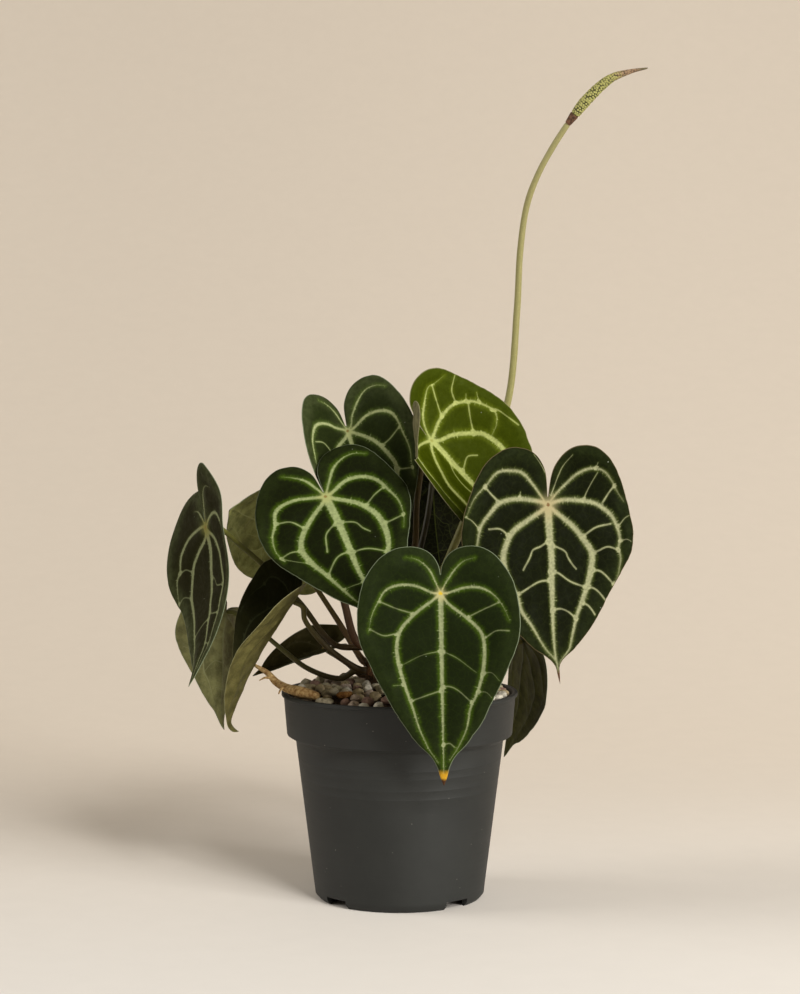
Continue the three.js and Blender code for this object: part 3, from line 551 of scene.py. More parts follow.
def nearest_on(lines, places):
    """Distance in mm outside the nearest line's half width, and how far along that line it is.

    The two sides of a line count from different starts, so that they don't fray alike."""
    gap = np.full(len(places), FAR)
    run = np.zeros(len(places))
    for number, (line, widths) in enumerate(lines):
        first, step = line[:-1], np.diff(line, axis=0)
        length = np.linalg.norm(step, axis=1)
        passed = np.r_[0, np.cumsum(length)]
        for begin in range(0, len(places), BATCH):
            block = slice(begin, begin + BATCH)
            from_first = places[block, None, :] - first[None]
            share = np.clip((from_first * step).sum(2) / (length ** 2 + 1e-15), 0, 1)
            distance = np.linalg.norm(from_first - share[..., None] * step, axis=2) / MM
            travelled = (passed[:-1] + share * length) / passed[-1]
            outside = distance - np.interp(travelled, (0, VEIN_BOW, 1), widths)
            best = outside.argmin(1)
            rows = np.arange(len(best))
            nearer = outside[rows, best] < gap[block]
            gap[block] = np.where(nearer, outside[rows, best], gap[block])
            start, along = from_first[rows, best], step[best]
            other_side = start[:, 0] * along[:, 1] > start[:, 1] * along[:, 0]
            where = travelled[rows, best] * passed[-1] / MM
            where = where + LINE_SHIFT * number + SIDE_SHIFT * other_side
            run[block] = np.where(nearer, where, run[block])
    return gap, run


def closed(outline):
    """An outline as a line of no width."""
    return [(np.vstack([outline, outline[:1]]), (0, 0, 0))]


def inside(outline, places):
    """True for each place inside the closed outline."""
    x, y = places[:, 0, None], places[:, 1, None]
    x0, y0 = outline.T
    x1, y1 = np.roll(outline, -1, 0).T
    with np.errstate(divide="ignore", invalid="ignore"):
        crossing = ((y0 > y) != (y1 > y)) & (x < (x1 - x0) * (y - y0) / (y1 - y0) + x0)
    return crossing.sum(1) % 2 == 1


def blade_net(leaf, spacing, seed):
    """Flat triangles of a blade with its outline and veins as edges, and the veins."""
    outline = leaf_outline(leaf, spacing)
    main, cross = leaf_veins(leaf, spacing, seed)
    kept = []
    for line, _ in (*main, *cross):
        ok = inside(outline, line)
        ok &= nearest_on(closed(outline), line)[0] > VEIN_INSET
        if ok.sum() > FEWEST_POINTS:
            kept.append(line[ok])
    low, high = outline.min(0), outline.max(0)
    columns = np.arange(low[0], high[0], spacing)
    rows = np.arange(low[1], high[1], spacing * ROW_SHARE)
    grid_x, grid_y = np.meshgrid(columns, rows)
    grid_x = grid_x + (np.arange(len(rows)) % 2)[:, None] * spacing / 2
    grid = np.stack([grid_x.ravel(), grid_y.ravel()], 1)
    grid = grid[inside(outline, grid)]
    lines = [*closed(outline), *((line, (0, 0, 0)) for line in kept)]
    grid = grid[nearest_on(lines, grid)[0] > 0.5 * spacing / MM]
    points = [*outline]
    edges = [(i, (i + 1) % len(outline)) for i in range(len(outline))]
    for line in kept:
        edges += [(len(points) + i, len(points) + i + 1) for i in range(len(line) - 1)]
        points += [*line]
    points += [*grid]
    made = delaunay_2d_cdt([Vector(p) for p in points], edges, [], 1, MERGE)
    places = np.array([tuple(p) for p in made[0]])
    triangles = np.array(made[2])
    a, b, c = (places[triangles[:, k]] for k in range(3))
    turned = (b[:, 0] - a[:, 0]) * (c[:, 1] - a[:, 1]) - (b[:, 1] - a[:, 1]) * (c[:, 0] - a[:, 0]) > 0
    triangles[turned] = triangles[turned][:, ::-1]
    return outline, main, cross, places, triangles


def rim_edges(triangles):
    """Directed edges that belong to one triangle only."""
    edges = np.vstack([triangles[:, [0, 1]], triangles[:, [1, 2]], triangles[:, [2, 0]]])
    keys = {tuple(edge) for edge in edges.tolist()}
    return [edge for edge in edges.tolist() if (edge[1], edge[0]) not in keys]


def build_object(name, points, faces, materials, numbers=None, smooth=True):
    """A mesh object from points and faces, with its materials."""
    mesh = bpy.data.meshes.new(name)
    mesh.from_pydata([tuple(p) for p in points], [], [tuple(f) for f in faces])
    for material in materials:
        mesh.materials.append(material)
    if numbers is not None:
        mesh.polygons.foreach_set("material_index", np.asarray(numbers, np.int32))
    mesh.polygons.foreach_set("use_smooth", np.full(len(mesh.polygons), smooth))
    mesh.update()
    made = bpy.data.objects.new(name, mesh)
    bpy.context.scene.collection.objects.link(made)
    return made


def set_numbers(piece, name, values):
    """Stores one number for each point of a piece, for its shader to read."""
    attribute = piece.data.attributes.new(name, "FLOAT", "POINT")
    attribute.data.foreach_set("value", np.asarray(values, np.float32))


def place_piece(piece, slot, *nodes):
    """Puts a finished piece on the plant in place of its frame nodes."""
    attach(piece, "root")
    if nodes:
        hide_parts(*nodes)


def build_blade(leaf, seed, spacing):
    """One leaf blade: a thin shell with cushions between sunken veins and ribs below."""
    outline, main, cross, places, triangles = blade_net(leaf, spacing, seed)
    x, y = places.T
    gap, run = nearest_on(main, places)
    cross_gap, _ = nearest_on(cross, places)
    edge = nearest_on(closed(outline), places)[0]
    normals = surface_normals(leaf, x, y)
    rise = CUSHION * (1 - np.exp(-np.clip(gap, 0, None) / CUSHION_REACH))
    rise += SMALL_CUSHION * (1 - np.exp(-np.clip(cross_gap, 0, None) / SMALL_CUSHION_REACH))
    spots = [Vector((u * RIPPLE_DENSITY, v * RIPPLE_DENSITY, seed)) for u, v in places]
    ripple = [RIPPLE * noise.fractal(spot, *RIPPLE_NOISE) for spot in spots]
    rise = (rise + ripple) * np.clip(edge / EDGE_FLAT, 0, 1)
    half = np.where(edge < ON_EDGE, RIM_THICKNESS, BLADE_THICKNESS) / 2
    rib = RIB_HEIGHT * np.clip(-gap, 0, 1) ** RIB_ROUND * np.clip(edge / EDGE_PLAIN, 0, 1)
    middle = leaf_surface(leaf, x, y)
    upper = middle + normals * (rise + half)[:, None]
    lower = middle + normals * (rise - half - rib)[:, None]
    count = len(places)
    rim = rim_edges(triangles)
    faces = [*triangles.tolist(), *(triangles[:, ::-1] + count).tolist()]
    faces += [(b, a, a + count, b + count) for a, b in rim]
    numbers = [0] * len(triangles) + [1] * len(triangles) + [0] * len(rim)
    materials = [upper_material(leaf), lower_material(leaf)]
    piece = build_object(f"leaf_{leaf.name}", [*upper, *lower], faces, materials, numbers)
    for name, values in (("vein_gap", gap), ("vein_run", run), ("cross_gap", cross_gap), ("edge_gap", edge),
                         ("tip_gap", (leaf.long - y) / MM), ("flat_x", x / MM), ("flat_y", y / MM)):
        set_numbers(piece, name, np.r_[values, values])
    lay_flat(piece, places, len(triangles))
    place_piece(piece, "young_leaf" if leaf.name == "young" else "leaf", f"blade_{leaf.name}")


def lay_flat(piece, places, count):
    """Unwraps a blade: upper side on the left, lower side on the right, rim beside the upper."""
    low, high = places.min(0), places.max(0)
    width, height = high - low
    scale = BAKE_ROOM / max(BAKE_SHEETS * width, height)
    upper = (places - low) * scale + BAKE_MARGIN
    lower = upper + np.array([BAKE_NEXT * width * scale, 0])
    centre = upper.mean(0)
    outward = upper - centre
    skirt = upper + outward / (np.linalg.norm(outward, axis=1)[:, None] + 1e-9) * BAKE_SKIRT
    corners = np.zeros(len(piece.data.loops), np.int32)
    piece.data.loops.foreach_get("vertex_index", corners)
    sheet = np.vstack([upper, lower])[corners]
    rim = slice(6 * count, None)
    below = corners[rim] >= len(places)
    beside = corners[rim] % len(places)
    sheet[rim] = np.where(below[:, None], skirt[beside], upper[beside])
    layer = piece.data.uv_layers.new(name="OFBake")
    layer.data.foreach_set("uv", sheet.astype(np.float32).ravel())


# Shaders

# How much brighter the studio shows a matt surface that faces the viewer than its own colour
FRONT_BRIGHTNESS = 1.18


class Term:
    """One output of a material's nodes; arithmetic on it adds Math nodes."""

    def __init__(self, shader, socket):
        self.shader = shader
        self.socket = socket

    def math(self, operation, first, second):
        return self.shader.node("ShaderNodeMath", {"operation": operation}, {0: first, 1: second})

    def __add__(self, other):
        return self.math("ADD", self, other)

    __radd__ = __add__

    def __sub__(self, other):
        return self.math("SUBTRACT", self, other)

    def __rsub__(self, other):
        return self.math("SUBTRACT", other, self)

    def __mul__(self, other):
        return self.math("MULTIPLY", self, other)

    __rmul__ = __mul__

    def __pow__(self, power):
        return self.math("POWER", self, power)


class Shader:
    """A material with one Principled shader, its constants on the shader's own sockets."""

    def __init__(self, name, constants):
        self.material = bpy.data.materials.new(name)
        self.material.use_nodes = True
        self.tree = self.material.node_tree
        self.principled = self.tree.nodes["Principled BSDF"]
        for key, value in constants.items():
            self.principled.inputs[key].default_value = value

    def node(self, kind, settings=None, inputs=None, output=0):
        """Adds a node: its settings first, then the values or links of its sockets."""
        made = self.tree.nodes.new(kind)
        for key, value in (settings or {}).items():
            setattr(made, key, value)
        for key, value in (inputs or {}).items():
            self.feed(made.inputs[key], value)
        return Term(self, made.outputs[output])

    def feed(self, socket, value):
        if isinstance(value, Term):
            self.tree.links.new(value.socket, socket)
        else:
            socket.default_value = value

    def drive(self, **sockets):
        """Feeds the Principled shader's sockets, named with _ for a space."""
        for key, value in sockets.items():
            self.feed(self.principled.inputs[key.replace("_", " ")], value)
        return self.material

    def number(self, name):
        return self.node("ShaderNodeAttribute", {"attribute_name": name}, output="Fac")

    def place(self):
        return self.node("ShaderNodeTexCoord", output="Object")

    def axis(self, place, name):
        return self.node("ShaderNodeSeparateXYZ", None, {0: place}, name)

    def vector(self, x, y, z=0.0):
        return self.node("ShaderNodeCombineXYZ", None, {0: x, 1: y, 2: z})

    def stretched(self, place, scale):
        return self.node("ShaderNodeMapping", None, {"Vector": place, "Scale": scale})

    def noise(self, place, scale, detail=3.0, roughness=0.55):
        inputs = {"Vector": place, "Scale": scale, "Detail": detail, "Roughness": roughness}
        return self.node("ShaderNodeTexNoise", None, inputs)

    def cells(self, place, scale, feature="F1"):
        return self.node("ShaderNodeTexVoronoi", {"feature": feature}, {"Vector": place, "Scale": scale},
                         "Distance")

    def smooth(self, value, low, high):
        inputs = {"Value": value, "From Min": low, "From Max": high}
        return self.node("ShaderNodeMapRange", {"interpolation_type": "SMOOTHSTEP"}, inputs)

    def mix(self, factor, first, second):
        return self.node("ShaderNodeMix", {"data_type": "RGBA"}, {0: factor, 6: first, 7: second}, 2)

    def bump(self, height, distance, strength=1.0):
        inputs = {"Height": height, "Distance": distance, "Strength": strength}
        return self.node("ShaderNodeBump", None, inputs)


def tinted(colour, factor=1.0):
    """A 0 to 255 colour as lit in the studio, made lighter or darker, as the shader's own colour."""
    red, green, blue, alpha = srgb(*colour)
    factor /= FRONT_BRIGHTNESS
    return (red * factor, green * factor, blue * factor, alpha)


def vein_masks(s, look, feathering):
    """How much of each place is main vein, the glow beside it, thin vein and its glow."""
    gap, run, thin_gap = s.number("vein_gap"), s.number("vein_run"), s.number("cross_gap")
    barbs = s.smooth(s.noise(s.vector(run, gap * 0.3), scale=1.05, detail=3.0, roughness=0.62), 0.47, 0.8)
    shreds = s.noise(s.vector(run, gap * 0.9, 5.0), scale=3.0, detail=2.0)
    knot = (1 - s.smooth(gap, 0.0, 2.2)) * (1 - s.smooth(thin_gap, 0.0, 1.1))
    frayed = gap + feathering * 0.3 - barbs * feathering * 1.4
    frayed = frayed - (shreds - 0.5) * feathering * 0.6 - knot * 1.1
    core = 1 - s.smooth(frayed, -look.soft, look.soft * 0.6)
    glow = (1 - s.smooth(frayed, -0.3, look.glow_reach)) ** 1.6
    thin_gap = thin_gap + (shreds - 0.5) * 0.5
    thin = 1 - s.smooth(thin_gap, -0.26, 0.22)
    thin_glow = (1 - s.smooth(thin_gap, -0.1, look.glow_reach * 0.6)) ** 2
    return core, glow, thin, thin_glow


def blade_places(s, leaf):
    """Flat place in mm on a blade, with a layer of its own for each leaf."""
    return s.vector(s.number("flat_x"), s.number("flat_y"), 7.0 * leaf.radii[0] + leaf.long * 900)


def paint_rim(s, colour, look):
    """Adds the thin pale line of the edge and the dry tip to a blade's colour."""
    ragged = s.noise(s.vector(s.number("flat_x"), s.number("flat_y")), scale=1.1, detail=2.0)
    rim = 1 - s.smooth(s.number("edge_gap") + (ragged - 0.5) * 0.3, 0.1, 0.4)
    colour = s.mix(rim * (ragged + 0.25), colour, tinted(look.rim))
    tip = s.number("tip_gap") + (ragged - 0.5) * 1.2
    if look.yellow_tip:
        ripe = 1 - s.smooth(tip, look.yellow_tip * 0.6, look.yellow_tip)
        colour = s.mix(ripe * 0.9, colour, tinted((196, 148, 40)))
    dry = 1 - s.smooth(tip, look.dry_tip * 0.7, look.dry_tip + 0.4)
    return s.mix(dry, colour, tinted((78, 52, 34)))


def upper_material(leaf):
    """Velvety dark blade with frayed pale veins, a green glow beside them, a sheen painted greyer towards the
    edge and a pale rim.
    """
    look = leaf.look
    settings = bpy.context.scene.clarinervium
    s = Shader(f"upper_{leaf.name}", {"Specular IOR Level": 0.02})
    x, y = s.number("flat_x"), s.number("flat_y")
    flat = blade_places(s, leaf)
    core, glow, thin, thin_glow = vein_masks(s, look, settings.feathering)
    cloud = s.noise(flat, scale=0.07, detail=3.0)
    mottle = s.smooth(s.noise(flat, scale=0.3, detail=4.0, roughness=0.65), 0.3, 0.72)
    grain = s.noise(flat, scale=2.6, detail=2.0)
    net = 1 - s.smooth(s.cells(flat, scale=0.26, feature="DISTANCE_TO_EDGE"), 0.0, 0.08)
    # Painted sheen: the colour turns greyer towards the edge, where the blade curves away
    outer = s.smooth(s.number("edge_gap") + (cloud - 0.5) * 16.0, 1.0, 12.0)
    colour = s.mix(outer, tinted(look.margin), tinted(look.lamina))
    colour = s.mix(mottle * 0.55, colour, tinted(look.lamina, 0.75))
    colour = s.mix(net * grain * 0.1, colour, tinted(look.halo))
    patchy = s.smooth(s.noise(flat, scale=0.16, detail=2.0), 0.3, 0.62)
    colour = s.mix(glow * (0.45 + 0.55 * patchy) * look.glow, colour, tinted(look.halo))
    colour = s.mix(thin_glow * patchy * (look.glow * 0.6), colour, tinted(look.halo))
    colour = s.mix(thin * (0.6 + 0.4 * patchy) * look.thin_strength, colour, tinted(look.vein, 0.8))
    chalky = s.smooth(s.noise(flat, scale=0.8, detail=3.0), 0.25, 0.7)
    pale = s.mix(chalky, tinted(look.vein, 0.66), tinted(look.vein))
    below = y - leaf.meet * leaf.long / MM
    middle = (x * x + below * below) ** 0.5
    heart = 1 - s.smooth(middle, 0.5, look.heart_reach)
    pale = s.mix(heart, pale, tinted(look.heart))
    colour = s.mix(core, colour, pale)
    colour = s.mix(heart ** 3 * 0.6, colour, tinted(look.heart, 0.9))
    point = 1 - s.smooth(middle + (s.noise(flat, scale=1.4, detail=1.0) - 0.5) * 1.2, 0.5, 1.3)
    colour = s.mix(point, colour, tinted(look.point))
    specks = s.cells(flat, scale=0.1)
    sparse = s.smooth(s.noise(flat, scale=0.09, detail=1.0), 0.5, 0.56)
    colour = s.mix((1 - s.smooth(specks, 0.016, 0.034)) * sparse * 0.75, colour, tinted((168, 174, 156)))
    colour = paint_rim(s, colour, look)
    height = grain * 0.35 + s.noise(flat, scale=0.8, detail=3.0) - net * 0.3 - thin * 0.35
    rough = 0.5 + 0.2 * mottle
    relief = s.bump(height, distance=0.14 * MM, strength=0.7)
    return s.drive(Base_Color=colour, Roughness=rough, Normal=relief)


def lower_material(leaf):
    """Paler matt underside with raised ribs and a fine net."""
    look = leaf.look
    s = Shader(f"lower_{leaf.name}", {"Specular IOR Level": 0.04})
    flat = blade_places(s, leaf)
    grain = s.noise(flat, scale=1.8, detail=3.0)
    rib = 1 - s.smooth(s.number("vein_gap") + (grain - 0.5) * 0.3, -0.75, -0.2)
    thin = 1 - s.smooth(s.number("cross_gap"), -0.2, 0.12)
    net = 1 - s.smooth(s.cells(flat, scale=0.3, feature="DISTANCE_TO_EDGE"), 0.0, 0.08)
    mottle = s.smooth(s.noise(flat, scale=0.14, detail=5.0, roughness=0.65), 0.32, 0.68)
    colour = s.mix(mottle, tinted(look.under, 0.55), tinted(look.under, 1.1))
    colour = s.mix(net * 0.2, colour, tinted(look.under_vein, 0.9))
    colour = s.mix(thin * 0.5, colour, tinted(look.under_vein))
    colour = s.mix(rib * 0.8, colour, tinted(look.under_vein, 1.05))
    colour = paint_rim(s, colour, look)
    height = grain * 0.6 + net * 0.5 + thin * 0.6
    relief = s.bump(height, distance=0.12 * MM, strength=0.7)
    return s.drive(Base_Color=colour, Roughness=0.48 + 0.18 * grain, Normal=relief)


# Tubes

CROWN = (-0.006, 0.002, 0.113)
CROWN_RADIUS = 12 * MM

# How far a stalk runs straight at its ends, and how the CAD seats it on the crown and blade
STRAIGHT = 5 * MM
TOUCH = 0.3 * MM
CAD_BLADE_THICKNESS = 1 * MM
FACET_CLEAR = 0.15 * MM

# A stalk's rings and sides, its swollen knee under the blade, its wider foot and its lumps
STALK_RINGS = 110
STALK_SIDES = 16
KNEE = 0.16
KNEE_BEFORE = 6 * MM
KNEE_SPREAD = 3.5 * MM
FOOT = 0.35
FOOT_SPREAD = 5 * MM
LUMP_DENSITY = 120
END_DEPTH = 0.96


def pointing(azimuth, elevation):
    """Direction in space from its two angles in radians."""
    level = math.cos(elevation)
    return np.array([math.cos(azimuth) * level, math.sin(azimuth) * level, math.sin(elevation)])


def crown_line(azimuth, elevation):
    """Two points of a stalk that leaves the crown square to its surface."""
    direction = pointing(math.radians(azimuth), math.radians(elevation))
    centre = np.array(CROWN)
    return [centre + direction * (CROWN_RADIUS + TOUCH), centre + direction * (CROWN_RADIUS + STRAIGHT)]


def between(first, second, low, high, places):
    """Points on the straight line from the first at low to the second at high."""
    return (first * (high - places) + second * (places - low)) / (high - low)


def centripetal(points, count):
    """Smooth curve through the points with knots set by their distance, evenly sampled."""
    p = np.asarray(points, float)
    p = np.vstack([2 * p[0] - p[1], p, 2 * p[-1] - p[-2]])
    parts = []
    for four in zip(p[:-3], p[1:-2], p[2:-1], p[3:]):
        steps = [max(np.linalg.norm(b - a), 1e-9) ** 0.5 for a, b in zip(four, four[1:])]
        knots = np.r_[0, np.cumsum(steps)]
        t = np.linspace(knots[1], knots[2], TUBE_STEPS, endpoint=False)[:, None]
        lines = [between(four[i], four[i + 1], knots[i], knots[i + 1], t) for i in range(3)]
        arcs = [between(lines[i], lines[i + 1], knots[i], knots[i + 2], t) for i in range(2)]
        parts.append(between(*arcs, knots[1], knots[2], t))
    fine = np.vstack([*parts, p[-2:-1]])
    lengths = np.r_[0, np.cumsum(np.linalg.norm(np.diff(fine, axis=0), axis=1))]
    places = np.linspace(0, lengths[-1], count)
    return np.stack([np.interp(places, lengths, column) for column in fine.T], 1), lengths[-1]


def tube_points(line, radii, sides):
    """Rings of points round a line, each with its radius, turned as little as possible."""
    tangents = np.gradient(line, axis=0)
    tangents /= np.linalg.norm(tangents, axis=1)[:, None]
    normal = np.cross(tangents[0], (0, 0, 1) if abs(tangents[0][2]) < 0.9 else (1, 0, 0))
    angles = np.linspace(0, 2 * math.pi, sides, endpoint=False)
    rings = []
    for i in range(len(line)):
        normal = normal - tangents[i] * (normal @ tangents[i])
        normal = normal / np.linalg.norm(normal)
        other = np.cross(tangents[i], normal)
        circle = np.cos(angles)[:, None] * normal + np.sin(angles)[:, None] * other
        rings.append(line[i] + circle * np.reshape(radii[i], (-1, 1)))
    return np.vstack(rings)


def tube_faces(count, sides, start=0):
    """Quads round the rings of a tube and a fan at both ends."""
    faces = []
    for i in range(count - 1):
        for k in range(sides):
            a, b = start + i * sides + k, start + i * sides + (k + 1) % sides
            faces.append((a, b, b + sides, a + sides))
    faces.append(tuple(start + k for k in range(sides))[::-1])
    faces.append(tuple(start + (count - 1) * sides + k for k in range(sides)))
    return faces


def rounded_ends(radii, share=0.012):
    """Radii that close in a short dome at both ends of a tube."""
    t = np.linspace(0, 1, len(radii))
    near = np.minimum(np.clip(t / share, 0, 1), np.clip((1 - t) / share, 0, 1))
    return radii * np.sqrt(1 - (1 - near) ** 2 * END_DEPTH)


def build_tube(name, points, radii, sides, count, material, uneven=0.03, seed=0, swell=None):
    """A smooth stem through the points; radii in mm are spread along it."""
    line, length = centripetal(points, count)
    t = np.linspace(0, 1, count)
    base = np.interp(t, np.linspace(0, 1, len(radii)), radii) * MM
    base = rounded_ends(base)
    if swell is not None:
        base = base * swell(t, length)
    lumps = [1 + uneven * noise.noise(Vector(p * LUMP_DENSITY) + Vector((seed, 0, 0))) for p in line]
    piece = build_object(name, tube_points(line, base * lumps, sides), tube_faces(count, sides), [material])
    set_numbers(piece, "stem_run", np.repeat(t, sides))
    return piece


def stalk_material(name, low, high):
    """Smooth stalk, brown below and greener above, with fine lengthwise lines and specks."""
    s = Shader(name, {"Specular IOR Level": 0.22})
    run = s.number("stem_run")
    place = s.place()
    blotch = s.noise(place, scale=260.0, detail=3.0)
    streaks = s.noise(s.stretched(place, (1.0, 1.0, 0.12)), scale=1500.0, detail=2.0)
    share = s.smooth(run + (blotch - 0.5) * 0.35, 0.15, 0.95)
    colour = s.mix(share, tinted(low), tinted(high))
    colour = s.mix(streaks * 0.5, colour, tinted(low, 0.6))
    specks = 1 - s.smooth(s.cells(place, scale=700.0), 0.1, 0.2)
    colour = s.mix(specks * 0.35, colour, tinted(high, 1.5))
    height = streaks + blotch * 0.5
    relief = s.bump(height, distance=0.1 * MM, strength=0.5)
    return s.drive(Base_Color=colour, Roughness=0.38 + 0.2 * blotch, Normal=relief)


def build_stalk(leaf, seed):
    """A leaf stalk from the crown to the blade, swollen just under the blade."""
    face, _, _ = leaf_axes(leaf)
    base, top = leaf.radii
    wrap = top * MM * math.tan(math.radians(max(0, -leaf.fold[0], -leaf.fold[1])))
    clear = CAD_BLADE_THICKNESS / 2 + TOUCH + FACET_CLEAR + wrap
    end = np.array(leaf.at) - face * clear
    before = end - face * STRAIGHT
    touch = np.array(leaf.at) - face * BLADE_THICKNESS * 0.4
    points = [*crown_line(*leaf.stalk), *leaf.via, before, touch]

    def swell(t, length):
        knee = np.exp(-(((1 - t) * length - KNEE_BEFORE) / KNEE_SPREAD) ** 2)
        foot = np.exp(-t * length / FOOT_SPREAD)
        return 1 + KNEE * knee + FOOT * foot

    material = stalk_material(f"stalk_{leaf.name}", *leaf.stalk_colours)
    radii = (base, (base + top) / 2, top, top)
    piece = build_tube(f"stalk_{leaf.name}", points, radii, STALK_SIDES, STALK_RINGS, material,
                       seed=seed, swell=swell)
    place_piece(piece, "petiole", f"petiole_{leaf.name}")


# Flower spike

PEDUNCLE_STALK = (48, 52)
PEDUNCLE_VIA = (
    (0.016, 0.024, 0.15), (0.044, 0.035, 0.215), (0.0565, 0.036, 0.252), (0.0606, 0.028, 0.2987),
    (0.0617, 0.018, 0.329), (0.0645, 0.008, 0.3513), (0.0696, 0, 0.366), (0.0771, -0.007, 0.38),
    (0.0843, -0.0125, 0.391),
)
PEDUNCLE_RADII = (2.2, 1.5)
PEDUNCLE_RINGS = 200
PEDUNCLE_SIDES = 20
COLLAR_GAP = 0.6 * MM
COLLAR_LENGTH = 3.6 * MM
COLLAR_STEPS = (-1.2 * MM, 0.6 * MM, COLLAR_GAP + COLLAR_LENGTH + 0.3 * MM)
COLLAR_RINGS = 24
COLLAR_SIDES = 40
COLLAR_SHARES = (0, 0.12, 0.55, 0.9, 1)
COLLAR_RADII = (1.5, 1.66, 1.95, 2.2, 2.05)
SPADIX_POINTS = (
    (0.0906, -0.016, 0.3991), (0.0948, -0.018, 0.4036), (0.1, -0.02, 0.4084), (0.1049, -0.022, 0.4117),
    (0.1132, -0.024, 0.4143), (0.1218, -0.026, 0.4158),
)
SPADIX_RADII = (2.3, 2.8, 2.7, 2.4, 1.8, 1, 0.35)
SPADIX_SIDES = 96
SPADIX_RINGS = 320
SPADIX_ROWS = 12
SPADIX_STEP = 1.2 * MM
FLOWER_LINES = 400
FLOWER_SHIFT = 0.22
FLOWER_SIZES = (0.5, 0.64)
FLOWER_DEPTH = 0.5
FLOWER_LEVEL = 0.75


def build_peduncle():
    """The tall flower stalk, faintly ribbed, up into its collar."""
    material = stalk_material("flower_stalk", (142, 138, 80), (156, 149, 102))
    _, _, onward = spadix_axis()
    points = [*crown_line(*PEDUNCLE_STALK), *PEDUNCLE_VIA, np.array(PEDUNCLE_VIA[-1]) + onward * COLLAR_GAP]
    piece = build_tube("flower_stalk", points, PEDUNCLE_RADII, PEDUNCLE_SIDES, PEDUNCLE_RINGS, material,
                       uneven=0.04, seed=40)
    place_piece(piece, "flower_stalk", "peduncle")


def spadix_axis():
    """The collar's line, the spike's line after it and the direction in which both start."""
    end = np.array(PEDUNCLE_VIA[-1])
    onward = np.array(SPADIX_POINTS[0]) - end
    onward /= np.linalg.norm(onward)
    collar = [end + onward * step for step in COLLAR_STEPS]
    return collar, [end + onward * (COLLAR_GAP + COLLAR_LENGTH), *SPADIX_POINTS], onward


def flower_domes(along, around, random):
    """Height from 0 to 1 of the small flowers, on a lattice with staggered rows."""
    shift = random.uniform(-FLOWER_SHIFT, FLOWER_SHIFT, (FLOWER_LINES, SPADIX_ROWS, 2))
    size = random.uniform(*FLOWER_SIZES, (FLOWER_LINES, SPADIX_ROWS))
    domes = np.zeros(along.shape)
    row = np.floor(along).astype(int)
    for step in (-1, 0, 1, 2):
        line = np.clip(row + step, 0, FLOWER_LINES - 1)
        stagger = (line % 2) * 0.5
        near = np.round(around - stagger).astype(int)
        for turn in (-1, 0, 1):
            column = (near + turn) % SPADIX_ROWS
            away_along = along - line - shift[line, column, 0]
            away_around = around - (near + turn) - stagger - shift[line, column, 1]
            distance = np.hypot(away_along, away_around) / size[line, column]
            domes = np.maximum(domes, np.sqrt(np.clip(1 - distance ** 2, 0, 1)))
    return domes


def build_spadix():
    """The spike, covered in small flowers in staggered rows."""
    _, points, _ = spadix_axis()
    line, length = centripetal(points, SPADIX_RINGS)
    t = np.linspace(0, 1, SPADIX_RINGS)
    base = rounded_ends(np.interp(t, np.linspace(0, 1, len(SPADIX_RADII)), SPADIX_RADII) * MM, 0.03)
    turn = np.arange(SPADIX_SIDES) / SPADIX_SIDES
    along, around = np.meshgrid(t * length / SPADIX_STEP, turn * SPADIX_ROWS, indexing="ij")
    domes = flower_domes(along, around, np.random.default_rng(5))
    ripe = np.clip(base / base.max() * 1.2 - 0.25, 0.12, 1)[:, None]
    radius = base[:, None] + (domes - FLOWER_LEVEL) * FLOWER_DEPTH * MM * ripe
    piece = build_object("spadix_spike", tube_points(line, radius, SPADIX_SIDES),
                         tube_faces(SPADIX_RINGS, SPADIX_SIDES), [spadix_material()])
    set_numbers(piece, "stem_run", np.repeat(t, SPADIX_SIDES))
    set_numbers(piece, "dome", domes.ravel())
    place_piece(piece, "spadix", "spadix")


def spadix_material():
    """Yellow-green flowers with dark seams, brown and pinkish towards the dry tip."""
    s = Shader("spadix_flowers", {"Specular IOR Level": 0.35})
    dome, run = s.smooth(s.number("dome"), 0.3, 0.85), s.number("stem_run")
    spots = s.noise(s.place(), scale=900.0, detail=2.0)
    fresh = s.mix(dome, tinted((64, 62, 24)), tinted((160, 157, 90)))
    dry = s.mix(dome, tinted((70, 48, 34)), tinted((150, 122, 92)))
    ripe = s.smooth(run + (spots - 0.5) * 0.4, 0.55, 0.78)
    colour = s.mix(ripe, fresh, dry)
    end = s.smooth(run, 0.84, 0.95)
    colour = s.mix(end, colour, s.mix(spots, tinted((62, 50, 32)), tinted((116, 104, 74))))
    relief = s.bump(spots, distance=0.08 * MM, strength=0.6)
    return s.drive(Base_Color=colour, Roughness=0.5 + 0.25 * spots, Normal=relief)


def build_collar():
    """The brown scar that is left where the spathe stood, a little wider than the stalk."""
    line, _, _ = spadix_axis()
    path, _ = centripetal(line, COLLAR_RINGS)
    angles = np.linspace(0, 2 * math.pi, COLLAR_SIDES, endpoint=False)
    t = np.linspace(0, 1, COLLAR_RINGS)
    torn = 0.07 * np.sin(5 * angles + 1) + 0.05 * np.sin(11 * angles)
    radius = np.interp(t, COLLAR_SHARES, COLLAR_RADII)[:, None]
    radius = radius * (1 + torn * t[:, None]) * MM
    s = Shader("dry_collar", {"Specular IOR Level": 0.2})
    fibre = s.noise(s.place(), scale=700.0, detail=4.0)
    colour = s.mix(s.smooth(fibre, 0.3, 0.7), tinted((40, 27, 19)), tinted((118, 84, 62)))
    material = s.drive(Base_Color=colour, Roughness=0.8, Normal=s.bump(fibre, distance=0.3 * MM))
    piece = build_object("dry_collar", tube_points(path, radius, COLLAR_SIDES),
                         tube_faces(COLLAR_RINGS, COLLAR_SIDES), [material])
    place_piece(piece, "dried_spathe", "collar")


# Pot

